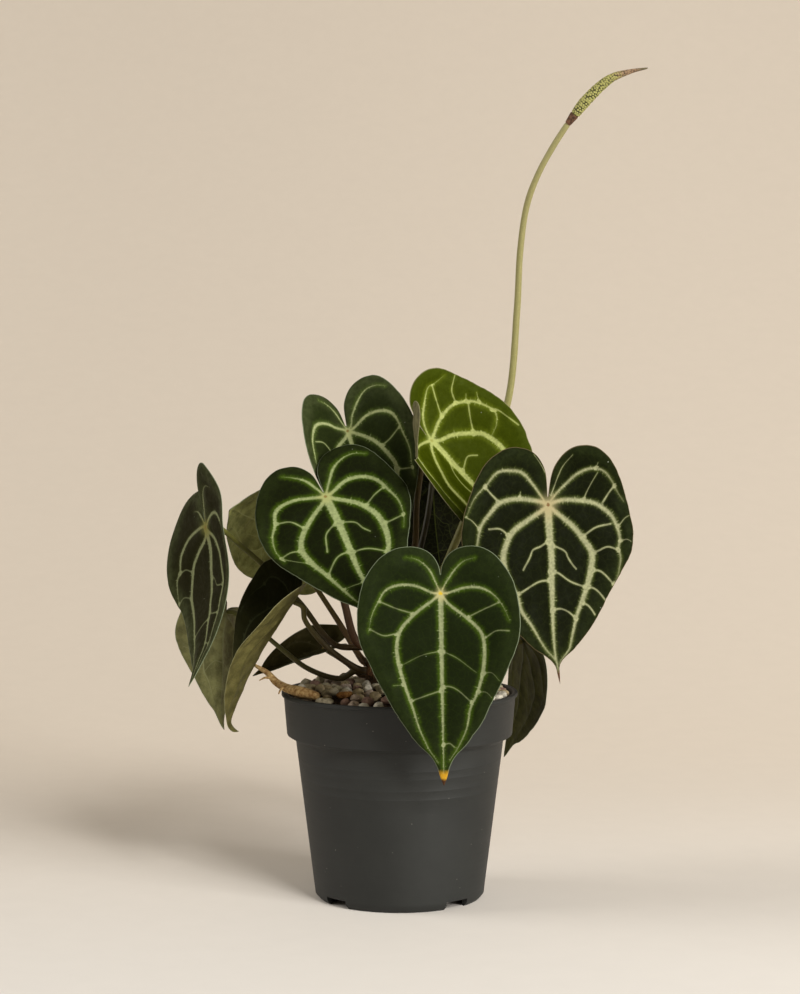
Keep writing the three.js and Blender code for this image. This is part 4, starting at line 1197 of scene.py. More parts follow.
# Sections in mm, as radius and height
POT_PROFILE = (
    (0, 3.5), (38, 3.5), (39.5, 3.2), (39.7, 0.4), (40.1, 0), (40.9, 0), (41.3, 0.3), (43, 2.2),
)
POT_WALL = ((52.8, 80.4), (53.1, 81))
POT_BAND = (
    (56.7, 83), (57.1, 83.3), (57.3, 83.9), (58.85, 102.3), (59.2, 102.7), (59.9, 103.1), (60, 103.5),
    (60, 104.6), (59.8, 104.9), (59.5, 105), (58.1, 105), (57.6, 104.8), (57.3, 104.4),
)
POT_INSIDE = ((55.7, 84.4), (55.2, 83.6), (51.2, 81.6), (41.4, 7), (40.8, 5.7), (40, 5.2), (0, 5.2))
POT_SEGMENTS = 180
MOULD_RINGS = (57.5, 61.9, 67.8, 71.7)
MOULD_RING_PROUD = 0.035
MOULD_RING_HALF = 0.2
MOULD_RING_PEAK = 0.03
RINGS_CLEAREST = math.radians(235)
WALL_ROWS = (4.5, 6.5, 10, 20, 30, 40, 50)
HEEL = (43, 2.2)
WALL_SLOPE = (POT_WALL[0][0] - HEEL[0]) / (POT_WALL[0][1] - HEEL[1])
FOOT_NOTCH = {"count": 4, "first": 42, "ring": 41.3 * MM, "width": 14 * MM, "height": 4.2 * MM,
              "reach": 10 * MM}
DRAIN = {"count": 8, "ring": 27 * MM, "section": ((0, 2), (4, 2), (4, 7), (0, 7)), "segments": 32}
SHARP_FROM = math.radians(38)


def wall_radius(height):
    """Outer radius of the pot's tapering wall at a height, both in mm."""
    return HEEL[0] + WALL_SLOPE * (height - HEEL[1])


def pot_profile():
    """The pot's section in mm, from the axis underneath, up the outside and down the inside."""
    rings = [(wall_radius(z), z) for z in WALL_ROWS]
    for height in MOULD_RINGS:
        for step, proud in ((-1, 0), (-0.5, 0.75), (0, 1), (0.5, 0.75), (1, 0)):
            z = height + step * MOULD_RING_HALF
            rings.append((wall_radius(z) + proud * MOULD_RING_PROUD, z))
    return [*POT_PROFILE, *rings, *POT_WALL, *POT_BAND, *POT_INSIDE]


def turned(profile, segments):
    """Points and faces of a body turned about the Z axis; the profile starts and ends on it."""
    angles = np.linspace(0, 2 * math.pi, segments, endpoint=False)
    points = [(0, 0, profile[0][1])]
    for r, z in profile[1:-1]:
        points += [(r * math.cos(a), r * math.sin(a), z) for a in angles]
    points.append((0, 0, profile[-1][1]))
    faces = []
    last = len(points) - 1
    rows = len(profile) - 2
    for k in range(segments):
        n = (k + 1) % segments
        faces.append((0, 1 + n, 1 + k))
        for i in range(rows - 1):
            a, b = 1 + i * segments + k, 1 + i * segments + n
            faces.append((a, b, b + segments, a + segments))
        faces.append((last, 1 + (rows - 1) * segments + k, 1 + (rows - 1) * segments + n))
    return np.array(points), faces


def cut(piece, cutters):
    """Cuts the cutters out of a piece and removes them."""
    for cutter in cutters:
        change = piece.modifiers.new("cut", "BOOLEAN")
        change.object = cutter
        change.operation = "DIFFERENCE"
        change.solver = "EXACT"
    bpy.context.view_layer.update()
    shown = piece.evaluated_get(bpy.context.evaluated_depsgraph_get())
    mesh = bpy.data.meshes.new_from_object(shown)
    piece.modifiers.clear()
    piece.data = mesh
    for cutter in cutters:
        bpy.data.objects.remove(cutter)


def wear_rings(points):
    """Fades the mould rings here and there and away from their clearest side."""
    height = points[:, 2]
    wall = wall_radius(height)
    radius = np.hypot(points[:, 0], points[:, 1])
    near = (height > MOULD_RINGS[0] - 1) & (height < MOULD_RINGS[-1] + 1)
    ringed = (radius > wall + MOULD_RING_PEAK) & near
    turn = np.arctan2(points[:, 1], points[:, 0])
    left = np.array([noise.noise(Vector(p / 16)) for p in points]) * 0.3
    left += 0.55 + 0.45 * np.cos(turn - RINGS_CLEAREST)
    faded = (wall + (radius - wall) * np.clip(left, 0, 1)) / np.maximum(radius, 1e-6)
    points[:, :2] *= np.where(ringed, faded, 1)[:, None]


def notch_cutters():
    """Blocks that cut the notches into the pot's foot."""
    quads = [(3, 2, 1, 0), (4, 5, 6, 7), (0, 1, 5, 4), (1, 2, 6, 5), (2, 3, 7, 6), (3, 0, 4, 7)]
    made = []
    for i in range(FOOT_NOTCH["count"]):
        angle = math.radians(FOOT_NOTCH["first"] + 360 * i / FOOT_NOTCH["count"])
        radial = np.array([math.cos(angle), math.sin(angle), 0])
        side = np.array([-radial[1], radial[0], 0])
        corners = []
        for z in (-FOOT_NOTCH["height"], FOOT_NOTCH["height"]):
            for r, w in ((-1, -1), (1, -1), (1, 1), (-1, 1)):
                corners.append(radial * (FOOT_NOTCH["ring"] + r * FOOT_NOTCH["reach"])
                               + side * w * FOOT_NOTCH["width"] / 2 + np.array([0, 0, z]))
        made.append(build_object("notch_cutter", corners, quads, [], smooth=False))
    return made


def drain_cutters():
    """Plugs that cut the drain holes into the pot's floor."""
    hole, walls = turned(DRAIN["section"], DRAIN["segments"])
    made = []
    for i in range(DRAIN["count"]):
        angle = 2 * math.pi * i / DRAIN["count"]
        centre = np.array([DRAIN["ring"] * math.cos(angle), DRAIN["ring"] * math.sin(angle), 0])
        made.append(build_object("drain_cutter", hole * MM + centre, walls, [], smooth=False))
    return made


def build_pot():
    """The grower's pot with its band, lip, mould rings, foot notches and drain holes."""
    points, faces = turned(pot_profile(), POT_SEGMENTS)
    wear_rings(points)
    piece = build_object("grower_pot", points * MM, faces, [pot_material()])
    cut(piece, [*notch_cutters(), *drain_cutters()])
    piece.data.shade_smooth()
    piece.data.set_sharp_from_angle(angle=SHARP_FROM)
    place_piece(piece, "pot_plastic", "nursery_pot")


def pot_material():
    """Satin dark grey plastic with a faint moulded grain, scuffs and a little dust."""
    settings = bpy.context.scene.clarinervium
    s = Shader("pot_plastic", {"Specular IOR Level": 0.3})
    place = s.place()
    cloud = s.noise(place, scale=28.0, detail=4.0, roughness=0.6)
    grain = s.noise(place, scale=2600.0, detail=2.0)
    drawn = s.noise(s.stretched(place, (1.0, 1.0, 14.0)), scale=60.0, detail=3.0)
    dust = 1 - s.smooth(s.cells(place, scale=210.0), 0.03, 0.075)
    patch = s.smooth(s.noise(place, scale=45.0, detail=2.0), 0.5, 0.66)
    base = (*settings.pot_colour, 1.0)
    paler = (*[c * 1.5 for c in settings.pot_colour], 1.0)
    colour = s.mix(s.smooth(cloud, 0.35, 0.7) * 0.5, base, paler)
    colour = s.mix(dust * patch * 0.7, colour, tinted((150, 146, 136)))
    rough = 0.5 + 0.12 * cloud + 0.08 * drawn + dust * patch * 0.3
    height = grain + drawn * 0.6
    relief = s.bump(height, distance=0.05 * MM, strength=0.45)
    return s.drive(Base_Color=colour, Roughness=rough, Normal=relief)


# Potting mix and what lies on it

MIX_CROWN = 107.5 * MM
MIX_DROP = 4.7 * MM
MIX_RADIUS = 56.7 * MM
MIX_SUNK = 0.8 * MM
MIX_EDGE = 3 * MM
MIX_RINGS = 70
MIX_SEGMENTS = 200
MIX_BODY = ((54.9, 85), (50.6, 82), (40.6, 7.3), (39.4, 5.6))
LOOSE_SMALL, LOOSE_LARGE = 2.7, 3.9
LOOSE_REACH = 53.5
LOOSE_APART = 0.82
LOOSE_TRIES = 12
LOOSE_SHARES = ((0.7, 0.95), (0.6, 0.85))
LOOSE_RAISED = 0.35
CROWN_TAKES = 9

# Worn stones: how many flats, and how deep and how fully they are cut
STONE_FLATS = 9
STONE_BLUNT = 0.78
STONE_CUT = 0.9
STONE_BUMPS = 0.055
STONE_DENSITY = 2.3
CHIP_DETAIL = 4
GRAVEL_DETAIL = 3
CHIP_RAISED = 0.2

# Stones and chips in mm: place, half lengths and turn in degrees
STONES = (
    (-48, 16, 3.4, 2.8, 2.6, 20), (-41, 22, 3.2, 2.9, 2.7, 70), (-36, 13, 3, 2.7, 2.4, 120),
    (-43, 7.5, 3.1, 2.5, 2.3, 10), (-50, -3, 3, 2.6, 2.4, 50), (-40.5, -11, 3.2, 2.7, 2.4, 95),
    (-33, -24, 3, 2.5, 2.3, 30), (-29, 28, 3.3, 2.8, 2.5, 60), (-22, -40, 3.1, 2.4, 2.1, 140),
    (-6, -46, 3.2, 2.7, 2.2, 15), (12, 42, 3.3, 2.9, 2.6, 80), (34, 26, 3.2, 2.6, 2.4, 25),
    (47, -8, 3.3, 2.7, 2.4, 110), (40, -26, 3, 2.6, 2.3, 65), (20, -38, 3.2, 2.5, 2.3, 5),
)
BARK = ((-27, -31, 5, 2.6, 1.9, 35), (29, -9, 5.5, 2.8, 2, 100), (-14, 40, 5, 2.6, 1.9, 160))
STONE_TINTS = (
    (206, 194, 164), (190, 178, 146), (196, 176, 156), (160, 128, 112), (222, 214, 194), (182, 164, 126),
)


def mix_top(radius):
    """Height of the mounded mix at a distance from the pot's axis."""
    return MIX_CROWN - MIX_DROP * (radius / MIX_RADIUS) ** 2


def crumbly(x, y):
    """Uneven height of loose bark and soil at a place on the mix, in metres."""
    coarse = noise.cell(Vector((x, y, 0)) / (3.2 * MM))
    medium = noise.fractal(Vector((x, y, 0)) / (4 * MM), *CRUMB_NOISE)
    return (1.1 * medium + 0.35 * coarse) * MM


def build_mix():
    """The mix: a crumbly mound in the pot with a plain body below it."""
    angles = [2 * math.pi * k / MIX_SEGMENTS for k in range(MIX_SEGMENTS)]
    points = [(0, 0, mix_top(0))]
    for ring in range(1, MIX_RINGS + 1):
        r = MIX_RADIUS * ring / MIX_RINGS
        fade = min(1, (MIX_RADIUS - r) / MIX_EDGE)
        for a in angles:
            x, y = r * math.cos(a), r * math.sin(a)
            points.append((x, y, mix_top(r) - MIX_SUNK + crumbly(x, y) * fade))
    for r, z in MIX_BODY:
        points += [(r * MM * math.cos(a), r * MM * math.sin(a), z * MM) for a in angles]
    rows = MIX_RINGS + len(MIX_BODY)
    faces = [(0, 1 + k, 1 + (k + 1) % MIX_SEGMENTS) for k in range(MIX_SEGMENTS)]
    for ring in range(rows - 1):
        for k in range(MIX_SEGMENTS):
            a, b = 1 + ring * MIX_SEGMENTS + k, 1 + ring * MIX_SEGMENTS + (k + 1) % MIX_SEGMENTS
            faces.append((a, a + MIX_SEGMENTS, b + MIX_SEGMENTS, b))
    faces.append(tuple(1 + (rows - 1) * MIX_SEGMENTS + k for k in range(MIX_SEGMENTS))[::-1])
    piece = build_object("mix_surface", points, faces, [mix_material()])
    place_piece(piece, "potting_mix", "potting_mix")


def mix_material():
    """Dark moist bark and soil with paler flecks."""
    s = Shader("crumbly_mix", {"Specular IOR Level": 0.25})
    place = s.place()
    crumbs = s.cells(place, scale=420.0)
    fine = s.noise(place, scale=900.0, detail=4.0, roughness=0.65)
    colour = s.mix(s.smooth(fine, 0.3, 0.75), tinted((26, 18, 12)), tinted((84, 60, 38)))
    flecks = 1 - s.smooth(s.cells(s.stretched(place, (1.0, 1.0, 2.0)), scale=260.0), 0.12, 0.2)
    colour = s.mix(flecks * 0.6, colour, tinted((132, 104, 72)))
    height = crumbs + fine * 0.7
    return s.drive(Base_Color=colour, Roughness=0.8 + 0.15 * fine, Normal=s.bump(height, distance=0.8 * MM))


def rough_ball(radii, seed, detail):
    """A worn stone: a ball with random flats, small pits and its own size each way."""
    random = np.random.default_rng(seed)
    shape = bmesh.new()
    bmesh.ops.create_icosphere(shape, subdivisions=detail, radius=1)
    points = np.array([v.co for v in shape.verts])
    faces = [[v.index for v in f.verts] for f in shape.faces]
    shape.free()
    normals = random.normal(size=(STONE_FLATS, 3))
    normals /= np.linalg.norm(normals, axis=1)[:, None]
    for normal in normals:
        past = np.clip(points @ normal - STONE_BLUNT, 0, None)
        points -= past[:, None] * normal * STONE_CUT
    layer = Vector((seed * 3.1, 0, 0))
    bumps = [noise.fractal(Vector(p * STONE_DENSITY) + layer, *STONE_NOISE) for p in points]
    points *= (1 + STONE_BUMPS * np.array(bumps))[:, None]
    points /= np.abs(points).max(0)
    return points * np.array(radii), faces


def turned_about(points, angle):
    """Points turned about the Z axis by an angle in degrees."""
    c, s = math.cos(math.radians(angle)), math.sin(math.radians(angle))
    return points @ np.array([[c, s, 0], [-s, c, 0], [0, 0, 1]])


def stone_material(name, tint):
    """Porous pale stone with darker pits."""
    s = Shader(name, {"Specular IOR Level": 0.25})
    place = s.place()
    cloud = s.noise(place, scale=320.0, detail=4.0)
    pits = 1 - s.smooth(s.cells(place, scale=1500.0), 0.12, 0.32)
    colour = s.mix(s.smooth(cloud, 0.3, 0.7), tinted(tint, 0.62), tinted(tint, 1.12))
    colour = s.mix(pits * 0.5, colour, tinted(tint, 0.35))
    height = cloud * 0.8 - pits * 0.7
    return s.drive(Base_Color=colour, Roughness=0.75 + 0.2 * cloud, Normal=s.bump(height, distance=0.35 * MM))


def bark_material():
    """Orange-brown bark with lengthwise grain."""
    s = Shader("bark_chip", {"Specular IOR Level": 0.25})
    place = s.place()
    grain = s.noise(s.stretched(place, (1.0, 3.0, 1.0)), scale=600.0, detail=5.0, roughness=0.7)
    colour = s.mix(s.smooth(grain, 0.3, 0.7), tinted((112, 66, 30)), tinted((206, 152, 84)))
    return s.drive(Base_Color=colour, Roughness=0.85, Normal=s.bump(grain, distance=0.6 * MM))


def build_loose(stones):
    """The stones and bark chips of the frame, each in its place."""
    kinds = (("stone", "pumice", STONES, stones, 60), ("bark", "bark_chip", BARK, [bark_material()], 90))
    for kind, slot, rows, materials, seed in kinds:
        for i, (x, y, long, wide, high, angle) in enumerate(rows):
            points, faces = rough_ball((long, wide, high), seed + i, CHIP_DETAIL)
            height = mix_top(math.hypot(x, y) * MM) / MM + high + CHIP_RAISED
            points = turned_about(points, angle) + np.array([x, y, height])
            piece = build_object(f"{kind}_chip_{i + 1}", points * MM, faces, [materials[i % len(materials)]])
            place_piece(piece, slot, f"{kind}_{i + 1}")


def build_gravel(stones, count):
    """Smaller loose stones over the whole mound, in one piece for each tint."""
    random = np.random.default_rng(7)
    taken = [(x, y, long) for x, y, long, *_ in (*STONES, *BARK)]
    taken.append((CROWN[0] / MM, CROWN[1] / MM, CROWN_TAKES))
    parts = [[] for _ in stones]
    for i in range(count * LOOSE_TRIES):
        if sum(len(p) for p in parts) >= count:
            break
        radius, angle = LOOSE_REACH * math.sqrt(random.random()), random.uniform(0, 2 * math.pi)
        x, y = radius * math.cos(angle), radius * math.sin(angle)
        size = random.uniform(LOOSE_SMALL, LOOSE_LARGE)
        if any(math.hypot(x - a, y - b) < (size + c) * LOOSE_APART for a, b, c in taken):
            continue
        taken.append((x, y, size))
        radii = (size, *[size * random.uniform(*shares) for shares in LOOSE_SHARES])
        points, faces = rough_ball(radii, 200 + i, GRAVEL_DETAIL)
        points = turned_about(points, random.uniform(0, 360))
        lift = mix_top(math.hypot(x, y) * MM) / MM + radii[2] * LOOSE_RAISED
        parts[i % len(stones)].append((points + np.array([x, y, lift]), faces))
    for number, group in enumerate(parts):
        points, faces, start = [], [], 0
        for stone_points, stone_faces in group:
            points += [*stone_points]
            faces += [[start + v for v in face] for face in stone_faces]
            start += len(stone_points)
        piece = build_object(f"gravel_{number + 1}", np.array(points) * MM, faces, [stones[number]])
        place_piece(piece, "pumice")


# Crown, sheaths and root

CROWN_ROWS = 60
CROWN_SIDES = 96
CROWN_SUNK = 1.2 * MM
CROWN_TOP = math.pi / 2 * 0.985
FIBRES = 46
FIBRE_RINGS = 9
FIBRE_SIDES = 5

# Sheaths: name, direction in degrees and length in mm
SHEATHS = (("left", 240, 22), ("back", 100, 20), ("right", -2, 18))
SHEATH_ROWS = 60
SHEATH_COLUMNS = 25
SHEATH_SHARES = (0, 0.3, 0.7, 1)
SHEATH_HALF_WIDTHS = (2.2, 3, 2.1, 0.3)
SHEATH_THICKNESS = 0.22 * MM
ROOT_POINTS = (
    (-0.04, -0.034, 0.1066), (-0.049, -0.026, 0.1078), (-0.0574, -0.013, 0.1082), (-0.0625, -0.0075, 0.1104),
    (-0.067, -0.005, 0.1146), (-0.074, -0.003, 0.1186),
)
ROOT_RADII = (2, 2.9, 2.6, 2.2, 1.7, 0.8)
ROOT_RINGS = 90
ROOTLET_RINGS = 36
ROOT_SIDES = 24
ROOT_DENSITY = 90
ROOTLETS = (
    (((-0.0574, -0.013, 0.109), (-0.0595, -0.018, 0.108), (-0.0605, -0.0215, 0.1062)), (1.1, 0.7, 0.3)),
    (((-0.064, -0.006, 0.112), (-0.068, -0.0075, 0.1125), (-0.071, -0.0085, 0.1112)), (0.9, 0.6, 0.25)),
)


def woody_material(name, dark, pale, scale, depth=0.5, drawn=0.3, patches=0.5):
    """Rough fibrous brown surface."""
    s = Shader(name, {"Specular IOR Level": 0.2})
    place = s.place()
    fibre = s.noise(s.stretched(place, (1.0, 1.0, drawn)), scale=scale, detail=5.0, roughness=0.7)
    lumps = s.noise(place, scale=scale * 0.3, detail=3.0)
    colour = s.mix(s.smooth(fibre, 0.3, 0.72), tinted(dark), tinted(pale))
    colour = s.mix(s.smooth(lumps, 0.45, 0.75) * patches, colour, tinted(dark, 0.7))
    return s.drive(Base_Color=colour, Roughness=0.82, Normal=s.bump(fibre + lumps, distance=depth * MM))


def build_crown():
    """The short stem: a lumpy dome ringed by old leaf scars."""
    low = math.asin((mix_top(0) - CROWN_SUNK - CROWN[2]) / CROWN_RADIUS)
    points = []
    for i in range(CROWN_ROWS):
        e = low + (CROWN_TOP - low) * i / (CROWN_ROWS - 1)
        for k in range(CROWN_SIDES):
            a = 2 * math.pi * k / CROWN_SIDES
            out = Vector(pointing(a, e))
            scar = 0.5 * math.sin(e * 15 + 1.5 * math.sin(2 * a)) + noise.fractal(out * 4, *SCAR_NOISE)
            points.append(np.array(CROWN) + np.array(out) * (CROWN_RADIUS - 0.3 * MM + 0.55 * MM * scar))
    material = woody_material("crown_bark", (34, 24, 16), (104, 78, 50), 900.0)
    piece = build_object("crown_dome", points, tube_faces(CROWN_ROWS, CROWN_SIDES), [material])
    place_piece(piece, "crown_bark", "crown_stem")


def build_fibres():
    """Dry fibres that stand from the crown."""
    random = np.random.default_rng(11)
    radii = np.linspace(0.34, 0.06, FIBRE_RINGS) * MM
    points, faces = [], []
    for _ in range(FIBRES):
        out = pointing(random.uniform(0, 2 * math.pi), math.radians(random.uniform(0, 70)))
        first = np.array(CROWN) + out * (CROWN_RADIUS - 0.5 * MM)
        bend = random.normal(0, 2.2 * MM, 3)
        last = first + out * random.uniform(4, 9) * MM + bend + np.array([0, 0, random.uniform(0, 6) * MM])
        middle = (first + last) / 2 + random.normal(0, 0.9 * MM, 3)
        line, _ = centripetal([first, middle, last], FIBRE_RINGS)
        faces += tube_faces(FIBRE_RINGS, FIBRE_SIDES, len(points))
        points += [*tube_points(line, radii, FIBRE_SIDES)]
    material = woody_material("dry_fibre", (60, 40, 24), (142, 108, 70), 1500.0)
    piece = build_object("crown_fibres", points, faces, [material])
    place_piece(piece, "dried_sheath")


def sheath_faces():
    """Quads of a sheath's two layers and of the edge that joins them all round."""
    rows, columns = SHEATH_ROWS, SHEATH_COLUMNS
    size = rows * columns
    faces = []
    for start in (0, size):
        for i in range(rows - 1):
            for k in range(columns - 1):
                a = start + i * columns + k
                quad = (a, a + 1, a + columns + 1, a + columns)
                faces.append(quad[::-1] if start else quad)
    grid = np.arange(size).reshape(rows, columns)
    loop = np.concatenate([grid[:, 0], grid[-1, 1:], grid[-2::-1, -1], grid[0, -2:0:-1]]).tolist()
    for a, b in zip(loop, loop[1:] + loop[:1]):
        faces.append((a, b, b + size, a + size))
    return faces


def build_sheath(name, azimuth, length, seed):
    """A papery dry sheath: a curved, tapering strip with torn sides."""
    first, second = crown_line(azimuth, 5)
    out = (second - first) / np.linalg.norm(second - first)
    up = np.array([0, 0, length * MM])
    tip = first + out * length * 0.6 * MM + up * 0.85
    line, _ = centripetal([first - out * 0.4 * MM, second, second + up * 0.85 / 3, tip], SHEATH_ROWS)
    side = np.cross(out, (0, 0, 1))
    t = np.linspace(0, 1, SHEATH_ROWS)
    half = np.interp(t, SHEATH_SHARES, SHEATH_HALF_WIDTHS) * MM
    around = np.linspace(-1, 1, SHEATH_COLUMNS)
    points = []
    for layer in (0, 1):
        for i in range(SHEATH_ROWS):
            for u in around:
                torn = 1 + 0.16 * noise.noise(Vector((t[i] * 14, np.sign(u), seed))) * abs(u)
                wrinkle = 0.16 * MM * math.sin(u * 16 + 2 * noise.noise(Vector((t[i] * 4, u, seed))))
                inward = out * (half[i] * 0.55 * (u * u - 0.5) + wrinkle - layer * SHEATH_THICKNESS)
                points.append(line[i] + side * u * half[i] * torn - inward)
    material = woody_material(f"sheath_{name}", (52, 32, 20), (136, 98, 62), 1100.0)
    piece = build_object(f"dry_sheath_{name}", points, sheath_faces(), [material])
    place_piece(piece, "dried_sheath", f"sheath_{name}")


def build_root():
    """The woody aerial root on the rim, with two rootlets."""
    material = woody_material("root_wood", (134, 94, 52), (214, 184, 126), 520.0, 0.16, 1.0, 0.75)
    points, faces = [], []
    angles = np.arange(ROOT_SIDES) / ROOT_SIDES * 2 * math.pi
    around = [Vector((math.cos(a), math.sin(a), 0)) for a in angles]
    for line_points, radii in ((ROOT_POINTS, ROOT_RADII), *ROOTLETS):
        count = ROOT_RINGS if line_points is ROOT_POINTS else ROOTLET_RINGS
        line, _ = centripetal(line_points, count)
        t = np.linspace(0, 1, count)
        base = rounded_ends(np.interp(t, np.linspace(0, 1, len(radii)), radii) * MM, 0.03)
        rings = [[1 + 0.07 * noise.fractal(Vector(p * ROOT_DENSITY) + side, *ROOT_NOISE) for side in around]
                 for p in line]
        faces += tube_faces(count, ROOT_SIDES, len(points))
        points += [*tube_points(line, base[:, None] * np.array(rings) * 0.96, ROOT_SIDES)]
    piece = build_object("aerial_root_wood", points, faces, [material])
    place_piece(piece, "root_wood", "aerial_root")


# Studio

# Name, degrees to the right, degrees up, distance, side of the square and share of the power
SOFT_LIGHTS = (
    ("key_light", 46, 16, 3.4, 1.5, 1.0),
    ("front_light", 24, 36, 3.0, 0.7, 0.45),
    ("fill_light", -90, 26, 3.4, 1.9, 0.5),
)
LAMP_COLOUR = (1, 0.985, 0.955)
LIT_PLACE = (0, 0, 0.15)
FLOOR_HALF = 3.5
SWEEP_FROM = 0.3
SWEEP_RADIUS = 2.6
SWEEP_ROWS = 60


def aim(thing, target):
    """Turns a lamp or camera towards a place."""
    direction = Vector(target) - thing.location
    thing.rotation_euler = direction.to_track_quat("-Z", "Y").to_euler()


def add_area_light(name, turn, lift, away, size, power):
    """A soft square lamp, seen from the plant to the right of the camera and above the level."""
    data = bpy.data.lights.new(name, "AREA")
    data.shape = "SQUARE"
    data.size = size
    data.energy = power
    data.color = LAMP_COLOUR
    lamp = bpy.data.objects.new(name, data)
    turn, lift = math.radians(turn), math.radians(lift)
    direction = Vector((math.sin(turn) * math.cos(lift), -math.cos(turn) * math.cos(lift), math.sin(lift)))
    lamp.location = Vector(LIT_PLACE) + direction * away
    bpy.context.scene.collection.objects.link(lamp)
    aim(lamp, LIT_PLACE)


def build_floor(near, far):
    """Pale seamless floor that sweeps up behind the plant, yellower there, with painted shade that darkens it
    to the left.
    """
    profile = [(-FLOOR_HALF, 0.0), (SWEEP_FROM, 0.0)]
    profile += [(SWEEP_FROM + SWEEP_RADIUS * math.sin(a), SWEEP_RADIUS * (1 - math.cos(a)))
                for a in np.linspace(0.02, math.pi / 2, SWEEP_ROWS)]
    points = [(x, y, z) for y, z in profile for x in (-FLOOR_HALF, FLOOR_HALF)]
    faces = [(2 * i, 2 * i + 1, 2 * i + 3, 2 * i + 2) for i in range(len(profile) - 1)]
    s = Shader("backdrop_paper", {"Specular IOR Level": 0.1})
    place = s.place()
    paint = s.mix(s.smooth(s.axis(place, "Y"), -0.3, 0.5), (*near, 1.0), (*far, 1.0))
    tooth = s.noise(place, scale=60.0, detail=4.0)
    # Paper tooth, and painted shade that darkens the floor towards the left
    shade = tooth * 0.04 + s.smooth(s.axis(place, "X"), 0.45, -0.45) * 0.08
    paint = s.mix(shade, paint, (0.0, 0.0, 0.0, 1.0))
    material = s.drive(Base_Color=paint, Roughness=0.9)
    floor = build_object("studio_floor", points, faces, [material])


class PlantSettings(bpy.types.PropertyGroup):
    """What a user may change before building the plant."""

    mesh_spacing: FloatProperty(
        name="Leaf mesh spacing", description="Distance between the points of a leaf blade",
        default=0.95 * MM, min=0.5 * MM, max=3 * MM, subtype="DISTANCE", unit="LENGTH")
    feathering: FloatProperty(
        name="Vein feathering", description="How far the pale veins fray at their sides, in mm",
        default=0.95, min=0, max=2)
    gravel_count: IntProperty(
        name="Small stones", description="Loose stones scattered over the potting mix", default=230, min=0)
    pot_colour: FloatVectorProperty(
        name="Pot colour", description="Colour of the pot's plastic", subtype="COLOR", size=3,
        default=srgb(32, 33, 31)[:3], min=0, max=1)
    floor_colour: FloatVectorProperty(
        name="Floor colour", description="Colour of the floor in front of the pot", subtype="COLOR", size=3,
        default=(0.722, 0.69, 0.65), min=0, max=1)
    backdrop_colour: FloatVectorProperty(
        name="Backdrop colour", description="Colour of the backdrop behind the plant", subtype="COLOR",
        size=3, default=(0.715, 0.637, 0.545), min=0, max=1)
    key_power: FloatProperty(
        name="Key light", description="Power of the soft light from the right", default=118, min=0,
        unit="POWER")
    ambient: FloatProperty(
        name="Ambient light", description="Strength of the even light from all round", default=0.28, min=0)


class BuildStage(bpy.types.Operator):
    """Build the floor, the soft lights and the camera"""

    bl_idname = "plant.build_stage"
    bl_label = "Build studio"

    def execute(self, context):
        settings = context.scene.clarinervium
        build_floor(settings.floor_colour, settings.backdrop_colour)
        for name, turn, lift, away, size, share in SOFT_LIGHTS:
            add_area_light(name, turn, lift, away, size, settings.key_power * share)
        world = bpy.data.worlds.new("studio_air")
        world.use_nodes = True
        background = world.node_tree.nodes["Background"]
        background.inputs["Color"].default_value = srgb(250, 236, 214)
        background.inputs["Strength"].default_value = settings.ambient
        context.scene.world = world
        context.scene.view_settings.view_transform = "Standard"
        data = bpy.data.cameras.new("camera")
        data.lens = CAMERA_LENS
        data.sensor_width = CAMERA_SENSOR
        camera = bpy.data.objects.new("camera", data)
        camera.location = CAMERA_AT
        camera.rotation_euler = (math.radians(90 - CAMERA_DOWN), 0, 0)
        context.scene.collection.objects.link(camera)
        context.scene.camera = camera
        return {"FINISHED"}


class BuildPot(bpy.types.Operator):
    """Build the grower's pot"""

    bl_idname = "plant.build_pot"
    bl_label = "Build pot"

    def execute(self, context):
        build_pot()
        return {"FINISHED"}


class BuildMix(bpy.types.Operator):
    """Build the potting mix and the loose stones and bark on it"""

    bl_idname = "plant.build_mix"
    bl_label = "Build potting mix"

    def execute(self, context):
        build_mix()
        stones = [stone_material(f"stone_tint_{i + 1}", tint) for i, tint in enumerate(STONE_TINTS)]
        build_loose(stones)
        build_gravel(stones, context.scene.clarinervium.gravel_count)
        return {"FINISHED"}


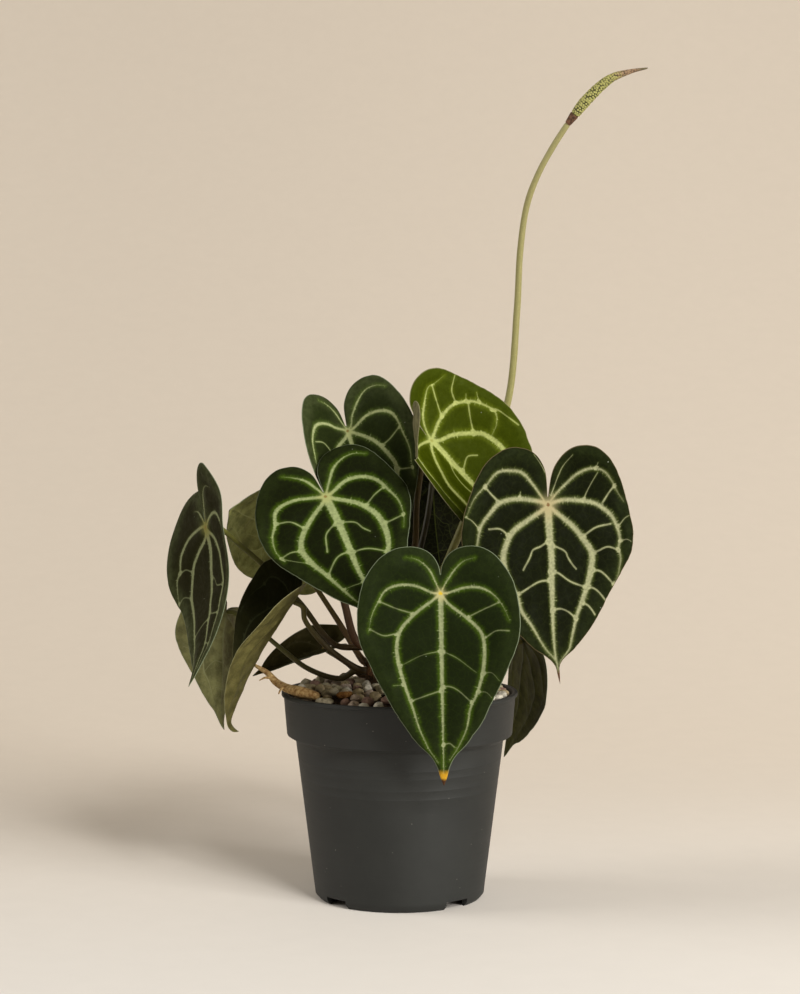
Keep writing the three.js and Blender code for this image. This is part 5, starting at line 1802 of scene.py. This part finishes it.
class BuildCrown(bpy.types.Operator):
    """Build the crown with its dry sheaths and the aerial root"""

    bl_idname = "plant.build_crown"
    bl_label = "Build crown and root"

    def execute(self, context):
        build_crown()
        build_fibres()
        for seed, (name, azimuth, length) in enumerate(SHEATHS):
            build_sheath(name, azimuth, length, seed)
        build_root()
        return {"FINISHED"}


class BuildStalks(bpy.types.Operator):
    """Build the leaf stalks"""

    bl_idname = "plant.build_stalks"
    bl_label = "Build leaf stalks"

    def execute(self, context):
        for seed, leaf in enumerate(LEAVES):
            build_stalk(leaf, seed)
        return {"FINISHED"}


class BuildBlades(bpy.types.Operator):
    """Build the leaf blades"""

    bl_idname = "plant.build_blades"
    bl_label = "Build leaf blades"

    def execute(self, context):
        for seed, leaf in enumerate(LEAVES):
            build_blade(leaf, seed + 1, context.scene.clarinervium.mesh_spacing)
        return {"FINISHED"}


class BuildSpike(bpy.types.Operator):
    """Build the flower stalk, its dry collar and the spike"""

    bl_idname = "plant.build_spike"
    bl_label = "Build flower spike"

    def execute(self, context):
        build_peduncle()
        build_collar()
        build_spadix()
        return {"FINISHED"}


BUILDERS = (BuildStage, BuildPot, BuildMix, BuildCrown, BuildStalks, BuildBlades, BuildSpike)


class PlantPanel(bpy.types.Panel):
    """Lists the plant's settings and builders in the sidebar"""

    bl_idname = "VIEW3D_PT_clarinervium"
    bl_label = "Potted Anthurium"
    bl_space_type = "VIEW_3D"
    bl_region_type = "UI"
    bl_category = "Plant"

    def draw(self, context):
        settings = context.scene.clarinervium
        for name in PlantSettings.__annotations__:
            self.layout.prop(settings, name)
        for builder in BUILDERS:
            self.layout.operator(builder.bl_idname)


CLASSES = (PlantSettings, *BUILDERS, PlantPanel)


def register():
    for each in CLASSES:
        bpy.utils.register_class(each)
    bpy.types.Scene.clarinervium = PointerProperty(type=PlantSettings)


def unregister():
    del bpy.types.Scene.clarinervium
    for each in reversed(CLASSES):
        bpy.utils.unregister_class(each)


def main():
    register()
    for builder in BUILDERS:
        group, name = builder.bl_idname.split(".")
        getattr(getattr(bpy.ops, group), name)()
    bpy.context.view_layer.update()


if __name__ == "__main__":
    main()
